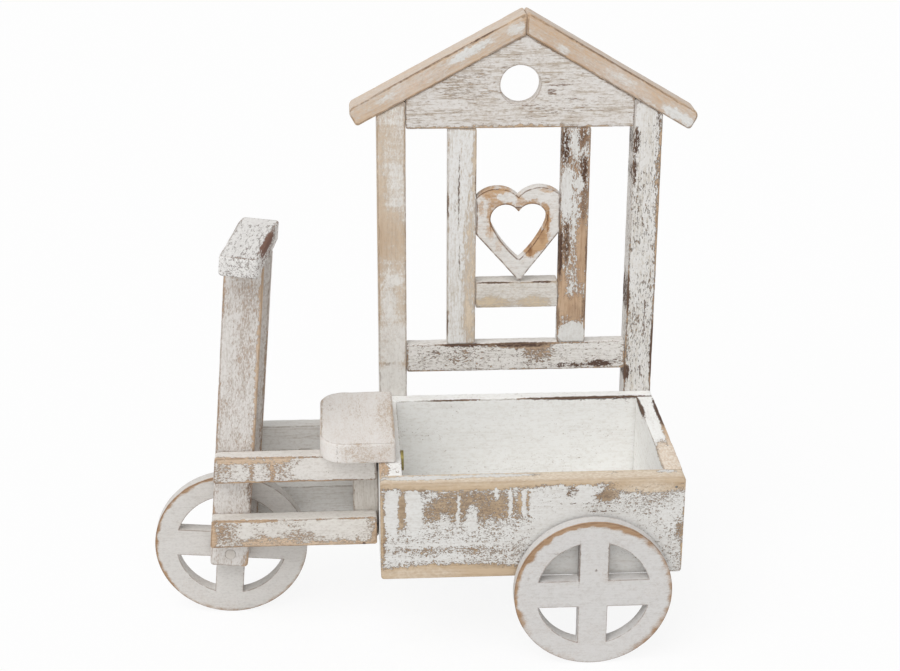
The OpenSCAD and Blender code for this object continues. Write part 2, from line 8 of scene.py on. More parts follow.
import logging
import math
from dataclasses import dataclass, field, replace
from enum import Enum
from typing import Iterable, Optional, Sequence

import bmesh
import bpy
import numpy as np
from mathutils import Matrix, Vector, noise
from mathutils.geometry import delaunay_2d_cdt


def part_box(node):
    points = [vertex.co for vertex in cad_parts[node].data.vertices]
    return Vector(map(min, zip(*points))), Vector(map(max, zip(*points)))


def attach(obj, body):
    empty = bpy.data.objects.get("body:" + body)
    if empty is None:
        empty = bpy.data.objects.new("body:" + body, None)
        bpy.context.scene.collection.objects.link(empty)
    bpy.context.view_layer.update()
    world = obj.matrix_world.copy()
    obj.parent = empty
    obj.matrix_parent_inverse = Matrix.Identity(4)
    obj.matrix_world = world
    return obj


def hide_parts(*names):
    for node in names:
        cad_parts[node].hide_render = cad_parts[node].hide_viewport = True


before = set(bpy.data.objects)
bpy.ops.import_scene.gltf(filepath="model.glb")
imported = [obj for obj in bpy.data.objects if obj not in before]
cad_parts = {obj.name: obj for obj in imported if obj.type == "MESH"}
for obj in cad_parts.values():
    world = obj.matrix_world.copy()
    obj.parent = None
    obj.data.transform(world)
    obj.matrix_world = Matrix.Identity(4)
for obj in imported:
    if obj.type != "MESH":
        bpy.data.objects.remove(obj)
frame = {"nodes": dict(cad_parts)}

log = logging.getLogger("planter")

# A millimetre in metres, and the mesh attribute that holds the distance from a worn edge
MM = 0.001
EDGE = "edge"

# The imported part, measured before any dressed piece is added
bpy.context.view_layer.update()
BOX_LOW, BOX_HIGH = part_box("box_front")
CORNER = Vector((BOX_LOW.x / MM, BOX_LOW.y / MM, 0.0))
BOX_Z, BOX_TOP = BOX_LOW.z / MM, BOX_HIGH.z / MM

# Sizes that several sub-assemblies share
BOX_D = 166.0
AXLE_D = 8.0
AXLE_Z = 60.5
FRONT_REACH = 117.5
FRAME_Y = 87.0
CORNER_R = 2.0

# Wave lengths of the wear along edges and of the dents in faces, slow and fast, and the shifts
# that keep the fast waves apart from the slow ones
EDGE_WAVES, EDGE_DEPTHS, EDGE_SHIFT = (11, 4.5), (7, 5), 31
DENT_WAVES, DENT_SHARES, DENT_SHIFT = (21, 6), (0.65, 0.35), 7

# How meshes are cut up: side steps, worn edges, points taken at a time, and what counts as nothing
SIDE_STEP, ARC_STEP, SHARP_TURN = 3.0, 1.2, 30
EDGE_ARC = (90, 60, 30, 0)
CHUNK, TINY, FAR, MERGE = 4000, 1e-12, 1e9, 1e-6

# In metres: reach of a spot that goes through its board, shaking of spots and of thin marks, and
# relief of wood and metal
THROUGH, SPOT_SHAKE, MARK_SHAKE = 0.9, 0.01, 0.0035
WOOD_RELIEF, METAL_RELIEF = 0.0004, 0.0001

# Shift of the pattern along each axis for each step of a finish's seed
SEED_SHIFT = (0.37, 0.71, 0.53)

Corner = tuple[float, float, float]


class Body(Enum):
    """The bodies of the part that pieces ride on."""

    FRAME = "frame"
    FRONT = "front_wheel"
    REAR = "rear_wheels"


class Plane(Enum):
    """How the flat outline of a board stands in the part: outline axes first, then its depth."""

    UPRIGHT = ((1, 0, 0), (0, 0, 1), (0, 1, 0))
    ACROSS = ((0, 1, 0), (0, 0, 1), (1, 0, 0))
    LEVEL = ((1, 0, 0), (0, 1, 0), (0, 0, 1))

    def matrix(self) -> Matrix:
        """Matrix that takes outline and depth places to the part's axes."""
        return Matrix(self.value).transposed().to_4x4()


class Grain(Enum):
    """Direction of the grain, as the turn that lays it along X of the pattern."""

    ALONG_X = (0.0, 0.0, 0.0)
    ALONG_Y = (0.0, 0.0, -90.0)
    ALONG_Z = (0.0, 90.0, 0.0)


# Colours


def linear(red: int, green: int, blue: int) -> tuple[float, float, float, float]:
    """Turns a screen colour into the linear colour that shaders take.

    Args:
        red, green, blue: the screen colour, 0 to 255.

    Returns:
        Red, green, blue and alpha in linear light.
    """
    parts = [c / 255 for c in (red, green, blue)]
    return tuple(c / 12.92 if c <= 0.04045 else ((c + 0.055) / 1.055) ** 2.4 for c in parts) + (1.0,)


# Outlines


@dataclass
class Loop:
    """A closed outline of a board.

    The wood lies to the left of it: outsides run anticlockwise, holes clockwise.
    """

    points: np.ndarray
    inward: np.ndarray
    corners: np.ndarray


def corner_loop(corners: Sequence[Corner], step: float = 2.6) -> Loop:
    """Makes a loop of straight sides between rounded or plain corners.

    Args:
        corners: places of the corners, each with its rounding radius.
        step: longest piece of a straight side.

    Returns:
        The loop, with a point for each step and each piece of an arc.
    """
    places = np.array([c[:2] for c in corners], float)
    ahead = np.roll(places, -1, 0) - places
    ahead /= np.linalg.norm(ahead, axis=1)[:, None]
    side = np.stack([-ahead[:, 1], ahead[:, 0]], 1)
    runs, sharp = [], []
    for i, (_, _, radius) in enumerate(corners):
        before, after = side[i - 1], side[i]
        miter = (before + after) / (1 + before @ after)
        turn = math.atan2(
            ahead[i - 1][0] * ahead[i][1] - ahead[i - 1][1] * ahead[i][0], ahead[i - 1] @ ahead[i]
        )
        if turn > math.radians(SHARP_TURN):
            sharp.append(places[i])
        if radius <= 0:
            runs.append([(places[i], miter)])
            continue
        sign = 1.0 if turn > 0 else -1.0
        middle = places[i] + sign * miter * radius
        pieces = max(2, math.ceil(abs(turn) * radius / ARC_STEP))
        arc = []
        for k in range(pieces + 1):
            angle = turn * k / pieces
            c, s = math.cos(angle), math.sin(angle)
            out = -before * sign
            out = np.array([c * out[0] - s * out[1], s * out[0] + c * out[1]])
            arc.append((middle + radius * out, -out * sign))
        runs.append(arc)
    points, inward = [], []
    for i, run in enumerate(runs):
        for point, normal in run:
            points.append(point)
            inward.append(normal)
        start, end = run[-1][0], runs[(i + 1) % len(runs)][0][0]
        pieces = max(1, round(float(np.linalg.norm(end - start)) / step))
        for k in range(1, pieces):
            points.append(start + (end - start) * k / pieces)
            inward.append(side[i])
    return Loop(np.array(points), np.array(inward), np.array(sharp).reshape(-1, 2))


def circle_loop(x: float, z: float, radius: float, hole: bool = True, step: float = 2.0) -> Loop:
    """Makes a round loop.

    Args:
        x, z: its middle.
        radius: its radius.
        hole: True for a hole, False for the outside of a round board.
        step: length of its pieces.

    Returns:
        The loop.
    """
    pieces = max(16, round(2 * math.pi * radius / step))
    angles = np.arange(pieces) / pieces * 2 * math.pi * (-1 if hole else 1)
    out = np.stack([np.cos(angles), np.sin(angles)], 1)
    return Loop(np.array([x, z]) + radius * out, out if hole else -out, np.zeros((0, 2)))


def rectangle(x0: float, z0: float, x1: float, z1: float, radius: float) -> list[Corner]:
    """Corners of a rectangle, anticlockwise."""
    return [(x0, z0, radius), (x1, z0, radius), (x1, z1, radius), (x0, z1, radius)]


def inside(points: np.ndarray, loops: Sequence[np.ndarray]) -> np.ndarray:
    """Tells which points lie in the wood between the loops.

    Args:
        points: places to test.
        loops: points of each closed loop.

    Returns:
        True for each point that lies in the wood.
    """
    odd = np.zeros(len(points), bool)
    for loop in loops:
        ax, az = loop[:, 0], loop[:, 1]
        bx, bz = np.roll(ax, -1), np.roll(az, -1)
        for start in range(0, len(points), CHUNK):
            part = slice(start, start + CHUNK)
            px, pz = points[part, 0][:, None], points[part, 1][:, None]
            crosses = (az > pz) != (bz > pz)
            height = np.where(bz == az, TINY, bz - az)
            before = px < (bx - ax) * (pz - az) / height + ax
            odd[part] ^= (np.sum(crosses & before, axis=1) % 2).astype(bool)
    return odd


def reach(points: np.ndarray, loops: Sequence[np.ndarray]) -> np.ndarray:
    """Distance of each point from the nearest side of the loops.

    Args:
        points: places to measure from.
        loops: points of each closed loop.

    Returns:
        The distances.
    """
    best = np.full(len(points), FAR)
    for loop in loops:
        a, b = loop, np.roll(loop, -1, 0)
        along = b - a
        size = np.maximum(np.sum(along * along, 1), TINY)
        for start in range(0, len(points), CHUNK):
            part = slice(start, start + CHUNK)
            off = points[part, None, :] - a[None]
            share = np.clip(np.sum(off * along[None], 2) / size, 0, 1)
            near = off - share[..., None] * along[None]
            best[part] = np.minimum(best[part], np.sqrt(np.sum(near * near, 2)).min(1))
    return best


# Worn boards


@dataclass(frozen=True)
class Wear:
    """How far the edges and faces of a board are worn.

    The edges are rounded to about the radius in edge, chips add to it up to the radius in most, and
    dents sink the faces by up to the depth in dent, all in millimetres.
    """

    edge: float = 0.9
    chip: float = 1.1
    most: float = 1.9
    dent: float = 0.22
    seed: float = 0.0


def rounding(points: np.ndarray, depth: float, wear: Wear) -> np.ndarray:
    """Radius of the worn edge at each point of a loop.

    Args:
        points: the loop's points.
        depth: place of the face along the depth, so that both faces wear differently.
        wear: how far the board is worn.

    Returns:
        A radius for each point.
    """
    (slow_wave, fast_wave), (slow_depth, fast_depth) = EDGE_WAVES, EDGE_DEPTHS
    radii = []
    for x, z in points:
        slow_at = Vector((x / slow_wave, z / slow_wave, depth / slow_depth + wear.seed))
        fast_at = Vector((x / fast_wave, z / fast_wave, depth / fast_depth + wear.seed + EDGE_SHIFT))
        slow, fast = noise.noise(slow_at), noise.noise(fast_at)
        bites = max(0.0, fast - 0.12) + max(0.0, slow - 0.25)
        radii.append(wear.edge * (1 + 0.4 * slow) + wear.chip * bites)
    return np.clip(np.array(radii), 0.25 * wear.edge, wear.most)


@dataclass
class WornBoard:
    """A board with worn edges, cut to an outline and given a depth."""

    name: str
    loops: list[Loop]
    low: float
    high: float
    place: Matrix
    wear: Wear = Wear()
    cell: float = 3.2
    cell_gap: float = 0.55
    bore_around: float = 40.0
    bore_edge: float = 0.25
    most_edge: float = 0.45
    verts: list = field(default_factory=list)
    faces: list = field(default_factory=list)
    edge: list = field(default_factory=list)

    def is_bore(self, loop: Loop) -> bool:
        """Tells a dowel's bore, which isn't worn, from an outline."""
        sides = np.linalg.norm(loop.points - np.roll(loop.points, 1, 0), axis=1)
        return float(sides.sum()) < self.bore_around

    def profile(self, first: np.ndarray, last: np.ndarray) -> list[tuple[np.ndarray, np.ndarray]]:
        """Steps of the board's side, over one worn edge, across, and over the other.

        Args:
            first, last: radius of the worn edge at each point of a loop, at either face.

        Returns:
            For each step, how far inwards and how deep each point lies.
        """
        arc = [(math.cos(math.radians(angle)), math.sin(math.radians(angle))) for angle in EDGE_ARC]
        steps = max(2, round((self.high - self.low) / SIDE_STEP))
        rows = [(first * (1 - c), self.low + first * (1 - s)) for c, s in arc]
        for k in range(1, steps):
            depth = (self.low + first) * (1 - k / steps) + (self.high - last) * k / steps
            rows.append((first * 0, depth))
        return rows + [(last * (1 - c), self.high - last * (1 - s)) for c, s in reversed(arc)]

    def rings(self, loop: Loop) -> tuple[list[int], list[int]]:
        """Adds the side of the board along one loop.

        Args:
            loop: the loop to follow.

        Returns:
            Vertex numbers of its first and last ring, which lie in the two faces.
        """
        first, last = (rounding(loop.points, d, self.wear) for d in (self.low, self.high))
        bore = self.is_bore(loop)
        limit = self.bore_edge if bore else self.most_edge * (self.high - self.low)
        rows = self.profile(np.minimum(first, limit), np.minimum(last, limit))
        size, start = len(loop.points), len(self.verts)
        to_corner = np.full(size, FAR)
        for corner in loop.corners:
            to_corner = np.minimum(to_corner, np.linalg.norm(loop.points - corner, axis=1))
        for offset, depth in rows:
            flat = loop.points + loop.inward * offset[:, None]
            self.verts.extend(np.column_stack([flat, depth]).tolist())
            away = np.minimum(np.minimum(depth - self.low, self.high - depth), to_corner)
            self.edge.extend((np.maximum(away, 0) + (self.bore_around if bore else 0)).tolist())
        for row in range(len(rows) - 1):
            for i in range(size):
                a, b = start + row * size + i, start + row * size + (i + 1) % size
                self.faces.append((a, b, b + size, a + size))
        ends = start + (len(rows) - 1) * size
        return list(range(start, start + size)), list(range(ends, ends + size))

    def cap(self, rings: Sequence[list[int]], depth: float) -> None:
        """Closes one face of the board between its rings.

        Args:
            rings: vertex numbers of the ring of each loop in this face.
            depth: place of the face along the depth.
        """
        numbers = [n for ring in rings for n in ring]
        flat = np.array([self.verts[n][:2] for n in numbers])
        bounds, at = [], 0
        for ring in rings:
            bounds.append(flat[at : at + len(ring)])
            at += len(ring)
        low, high, half = flat.min(0), flat.max(0), self.cell / 2
        xs = np.arange(low[0] + half, high[0], self.cell)
        zs = np.arange(low[1] + half, high[1], self.cell)
        grid = np.array([(x + (half if j % 2 else 0), z) for j, z in enumerate(zs) for x in xs])
        grid = grid[inside(grid, bounds)]
        grid = grid[reach(grid, bounds) > self.cell_gap * self.cell]
        outline = [loop.points for loop in self.loops if not self.is_bore(loop)]
        start = len(self.verts)
        self.verts.extend(np.column_stack([grid, np.full(len(grid), depth)]).tolist())
        self.edge.extend(reach(grid, outline).tolist())
        everything = np.concatenate([flat, grid])
        numbers += list(range(start, start + len(grid)))
        sides, at = [], 0
        for ring in rings:
            sides += [(at + i, at + (i + 1) % len(ring)) for i in range(len(ring))]
            at += len(ring)
        made, _, triangles, origins, _, _ = delaunay_2d_cdt(
            [Vector(p) for p in everything.tolist()], sides, [], 1, MERGE)
        source = [origin[0] if origin else -1 for origin in origins]
        places = np.array([tuple(v) for v in made])
        middles = np.array([places[list(face)].mean(0) for face in triangles])
        for face, kept in zip(triangles, inside(middles, bounds)):
            corners = [source[v] for v in face]
            if kept and -1 not in corners:
                self.faces.append(tuple(numbers[c] for c in corners))

    def build(self) -> bpy.types.Object:
        """Builds the board as one closed mesh in the part's frame.

        Returns:
            The new object, at the origin.
        """
        ends = [self.rings(loop) for loop in self.loops]
        self.cap([e[0] for e in ends], self.low)
        self.cap([e[1] for e in ends], self.high)
        to_row = Matrix.Scale(MM, 4) @ Matrix.Translation(CORNER) @ self.place
        mesh = bpy.data.meshes.new(self.name)
        mesh.from_pydata([tuple(to_row @ Vector(v)) for v in self.verts], [], self.faces)
        edge = mesh.attributes.new(EDGE, "FLOAT", "POINT")
        edge.data.foreach_set("value", np.array(self.edge, np.float32) * MM)
        close_up(mesh)
        dent(mesh, self.wear)
        return add_object(self.name, mesh)


def close_up(mesh: bpy.types.Mesh) -> None:
    """Merges doubles, turns all faces outwards and shades the mesh smooth.

    Args:
        mesh: the mesh to close up.
    """
    work = bmesh.new()
    work.from_mesh(mesh)
    bmesh.ops.remove_doubles(work, verts=work.verts, dist=MERGE)
    bmesh.ops.recalc_face_normals(work, faces=work.faces)
    if work.calc_volume(signed=True) < 0:
        bmesh.ops.reverse_faces(work, faces=work.faces)
    holes = sum(1 for e in work.edges if len(e.link_faces) != 2)
    if holes:
        log.warning("%s: %d edges without two faces", mesh.name, holes)
    for face in work.faces:
        face.smooth = True
    work.to_mesh(mesh)
    work.free()
    mesh.update()


def dent(mesh: bpy.types.Mesh, wear: Wear) -> None:
    """Sinks the surface here and there by a fraction of a millimetre.

    Args:
        mesh: the mesh, in metres.
        wear: how far the board is worn.
    """
    if not wear.dent:
        return
    (slow_wave, fast_wave), (slow_share, fast_share) = DENT_WAVES, DENT_SHARES
    places = []
    for vertex in mesh.vertices:
        x, y, z = vertex.co / MM
        slow = noise.noise(Vector((x / slow_wave, y / slow_wave, z / slow_wave + wear.seed)))
        fast = noise.noise(Vector((x / fast_wave, y / fast_wave + DENT_SHIFT, z / fast_wave + wear.seed)))
        depth = wear.dent * (0.5 + 0.5 * (slow_share * slow + fast_share * fast))
        places.append(vertex.co - vertex.normal * max(0.0, depth) * MM)
    mesh.vertices.foreach_set("co", [c for p in places for c in p])
    mesh.update()


def add_object(name: str, mesh: bpy.types.Mesh) -> bpy.types.Object:
    """Puts a mesh into the scene as an object of that name.

    Args:
        name: the object's name.
        mesh: its mesh.

    Returns:
        The object.
    """
    thing = bpy.data.objects.new(name, mesh)
    bpy.context.scene.collection.objects.link(thing)
    return thing


# Shader groups and finishes


FLOAT, VECTOR, COLOUR = "NodeSocketFloat", "NodeSocketVector", "NodeSocketColor"
MIX_SHARE, MIX_FIRST, MIX_SECOND, MIX_RESULT = 0, 6, 7, 2


class Graph:
    """A short way to place and join nodes in a shader or geometry tree."""

    def __init__(self, tree: bpy.types.NodeTree) -> None:
        """Takes the tree to work in."""
        self.tree = tree

    def node(self, kind: str, inputs: Optional[dict[object, object]] = None,
             **settings: object) -> bpy.types.Node:
        """Adds a node.

        Args:
            kind: the node's type.
            inputs: what goes into its input sockets, by their names or numbers.
            settings: its properties.

        Returns:
            The node.
        """
        made = self.tree.nodes.new(kind)
        for key, value in settings.items():
            setattr(made, key, value)
        for key, value in (inputs or {}).items():
            self.put(made.inputs[key], value)
        return made

    def put(self, socket: bpy.types.NodeSocket, value: object) -> None:
        """Joins a socket to another one, or sets its value.

        Args:
            socket: the input socket.
            value: an output socket, or a plain value.
        """
        if isinstance(value, bpy.types.NodeSocket):
            self.tree.links.new(value, socket)
        else:
            socket.default_value = value

    def math(self, kind: str, *values: object, clamp: bool = False) -> bpy.types.NodeSocket:
        """Adds a math node and returns its result."""
        made = self.node("ShaderNodeMath", dict(enumerate(values)), operation=kind, use_clamp=clamp)
        return made.outputs[0]

    def vector(self, kind: str, *values: object) -> bpy.types.NodeSocket:
        """Adds a vector math node and returns its result, a number for a length."""
        made = self.node("ShaderNodeVectorMath", dict(enumerate(values)), operation=kind)
        return made.outputs["Value" if kind == "LENGTH" else "Vector"]

    def combine(self, *values: object) -> bpy.types.NodeSocket:
        """Joins numbers into a vector and returns it. What isn't given stays 0."""
        return self.node("ShaderNodeCombineXYZ", dict(enumerate(values))).outputs[0]

    def blend(self, share: object, first: object, second: object) -> bpy.types.NodeSocket:
        """Mixes two colours.

        Args:
            share: how much of the second colour is in it.
            first, second: the colours.

        Returns:
            The mixed colour.
        """
        made = self.node("ShaderNodeMix", {MIX_SHARE: share, MIX_FIRST: first, MIX_SECOND: second},
                         data_type="RGBA")
        return made.outputs[MIX_RESULT]

    def step(self, value: object, low: object, high: object, start: float = 0.0,
             end: float = 1.0) -> bpy.types.NodeSocket:
        """Adds a smooth step from start at low to end at high.

        Args:
            value: the number that moves along the step.
            low, high: where the step begins and ends.
            start, end: its value before and after it.

        Returns:
            The step's value.
        """
        made = self.node("ShaderNodeMapRange", dict(enumerate((value, low, high, start, end))),
                         interpolation_type="SMOOTHSTEP")
        return made.outputs[0]

    def noise(self, point: object, stretch: Sequence[float], detail: float = 2.0, rough: float = 0.55,
              bend: float = 0.0) -> bpy.types.NodeSocket:
        """Adds noise that is stretched along the axes.

        Args:
            point: the place it is taken at.
            stretch: waves per metre along each axis.
            detail, rough, bend: number of finer layers, their strength, and distortion.

        Returns:
            The noise, about 0 to 1.
        """
        scaled = self.vector("MULTIPLY", point, tuple(stretch))
        made = self.node("ShaderNodeTexNoise", {
            "Vector": scaled, "Scale": 1.0, "Detail": detail, "Roughness": rough, "Distortion": bend})
        return made.outputs["Fac"]

    def bump(self, height: bpy.types.NodeSocket, strength: float, depth: float) -> bpy.types.NodeSocket:
        """Adds a bump node and returns its normal."""
        made = self.node("ShaderNodeBump", {"Height": height, "Strength": strength, "Distance": depth})
        return made.outputs["Normal"]

    def surface(self, shader: bpy.types.Node) -> None:
        """Joins a shader to the material's output."""
        self.node("ShaderNodeOutputMaterial", {"Surface": shader.outputs[0]})


def new_material(name: str) -> tuple[bpy.types.Material, Graph]:
    """Makes a material with an empty node tree.

    Args:
        name: the material's name.

    Returns:
        The material, and the graph to build in.
    """
    made = bpy.data.materials.new(name)
    made.use_nodes = True
    made.node_tree.nodes.clear()
    return made, Graph(made.node_tree)


def new_group(name: str, inputs: Sequence[tuple[str, str, object]], outputs: Sequence[tuple[str, str]]
              ) -> tuple[Graph, dict, bpy.types.Node]:
    """Makes a shader node group with named sockets.

    Args:
        name: the group's name.
        inputs: name, socket kind and value of each input.
        outputs: name and socket kind of each output.

    Returns:
        The graph to build in, the input sockets by name, and the output node.
    """
    tree = bpy.data.node_groups.new(name, "ShaderNodeTree")
    for label, kind, value in inputs:
        made = tree.interface.new_socket(label, in_out="INPUT", socket_type=kind)
        if value is not None:
            made.default_value = value
    for label, kind in outputs:
        tree.interface.new_socket(label, in_out="OUTPUT", socket_type=kind)
    graph = Graph(tree)
    into, out = graph.node("NodeGroupInput"), graph.node("NodeGroupOutput")
    return graph, {s.name: s for s in into.outputs if s.name}, out


class Effects:
    """The shader groups that the finishes share, each built once.

    A thin dark line runs along the edges, as wide as edge_line_width in metres.
    """

    edge_line_width: float = 0.0008

    def __init__(self) -> None:
        """Builds the groups."""
        self.spot = self.build_spot()
        self.grain = self.build_grain()
        self.cover = self.build_cover()

    @staticmethod
    def build_spot() -> bpy.types.NodeTree:
        """A soft spot: 1 in its middle, 0 outside it.

        Returns:
            The group's tree.
        """
        g, of, out = new_group("worn_spot", [(label, VECTOR, None) for label in ("Point", "Centre", "Size")],
                               [("Spot", FLOAT)])
        away = g.vector("DIVIDE", g.vector("SUBTRACT", of["Point"], of["Centre"]), of["Size"])
        g.put(out.inputs["Spot"], g.step(g.vector("LENGTH", away), 1.2, 0.5))
        return g.tree

    @staticmethod
    def build_grain() -> bpy.types.NodeTree:
        """Wood grain along X of the point: a colour between two, and its relief.

        Returns:
            The group's tree.
        """
        g, of, out = new_group(
            "board_grain",
            [("Point", VECTOR, None), ("Light", COLOUR, (0.6, 0.45, 0.3, 1)),
             ("Dark", COLOUR, (0.3, 0.2, 0.1, 1))],
            [("Colour", COLOUR), ("Relief", FLOAT)])
        broad = g.noise(of["Point"], (7, 95, 95), 4, 0.6, 0.6)
        lines = g.noise(of["Point"], (30, 640, 640), 4, 0.65, 0.4)
        pores = g.noise(of["Point"], (150, 1500, 1500), 2, 0.6)
        relief = g.math("ADD", g.math("MULTIPLY", lines, 0.62), g.math("MULTIPLY", pores, 0.38))
        share = g.math("ADD", g.step(broad, 0.35, 0.72, 0.0, 0.5), g.step(relief, 0.44, 0.64, 0.0, 0.6))
        g.put(out.inputs["Colour"], g.blend(share, of["Light"], of["Dark"]))
        g.put(out.inputs["Relief"], relief)
        return g.tree

    @classmethod
    def build_cover(cls) -> bpy.types.NodeTree:
        """Brushed whitewash: where paint is left, each place's margin from its border, and edge lines.

        Returns:
            The group's tree.
        """
        g, of, out = new_group(
            "whitewash_cover",
            [("Point", VECTOR, None), ("Length", FLOAT, 2.0), ("Edge", FLOAT, 1.0), ("Spots", FLOAT, 0.0),
             ("Edge Spots", FLOAT, 0.0), ("Cover", FLOAT, 0.6), ("Flakes", FLOAT, 1.0),
             ("Flecks", FLOAT, 1.0), ("Streaks", FLOAT, 0.0), ("Softness", FLOAT, 0.08),
             ("Edge Width", FLOAT, 0.003), ("Edge Loss", FLOAT, 0.5)],
            [("Paint", FLOAT), ("Margin", FLOAT), ("Line", FLOAT)])
        point = of["Point"]
        grained = g.vector("MULTIPLY", point, g.combine(g.math("DIVIDE", 1.0, of["Length"]), 1.0, 1.0))
        flakes = g.math("SUBTRACT", g.noise(grained, (370, 500, 500), 5, 0.7, 0.3), 0.5)
        flecks = g.math("SUBTRACT", g.noise(grained, (950, 1200, 1200), 3, 0.7), 0.5)
        streaks = g.math("SUBTRACT", g.noise(point, (240, 18, 18), 3, 0.6, 0.2), 0.5)
        broad = g.math("SUBTRACT", g.noise(grained, (50, 60, 60), 3), 0.5)
        uneven = g.noise(point, (60, 110, 110), 2, 0.5)
        patchy = g.step(g.noise(point, (22, 60, 60), 2, 0.5), 0.42, 0.6)
        width = g.math("MULTIPLY", of["Edge Width"], g.step(uneven, 0.3, 0.7, 0.6, 1.4))
        loss = g.math("MULTIPLY_ADD", patchy, of["Edge Loss"], of["Edge Spots"])
        worn = g.math("MULTIPLY", g.step(of["Edge"], width, 0.0), loss)
        total = g.math("ADD", of["Cover"], of["Spots"])
        for part, amount in (
            (flakes, of["Flakes"]), (flecks, of["Flecks"]), (streaks, of["Streaks"]), (broad, 0.5),
        ):
            total = g.math("MULTIPLY_ADD", part, amount, total)
        margin = g.math("SUBTRACT", g.math("SUBTRACT", total, worn), 0.5)
        soft = of["Softness"]
        broken = g.step(g.noise(point, (170, 260, 260), 4, 0.65), 0.32, 0.54)
        g.put(out.inputs["Line"], g.math("MULTIPLY", g.step(of["Edge"], cls.edge_line_width, 0.0), broken))
        g.put(out.inputs["Margin"], margin)
        g.put(out.inputs["Paint"], g.step(margin, g.math("MULTIPLY", soft, -1.0), soft))
        return g.tree


@dataclass(frozen=True)
class Spot:
    """A patch on a board: where it is, how large, and how much paint or stain it adds.

    Places are in millimetres in the board's own frame. Without y it reaches through the board.
    """

    x: float
    z: float
    rx: float
    rz: float
    amount: float
    y: Optional[float] = None
    ry: float = 6.0


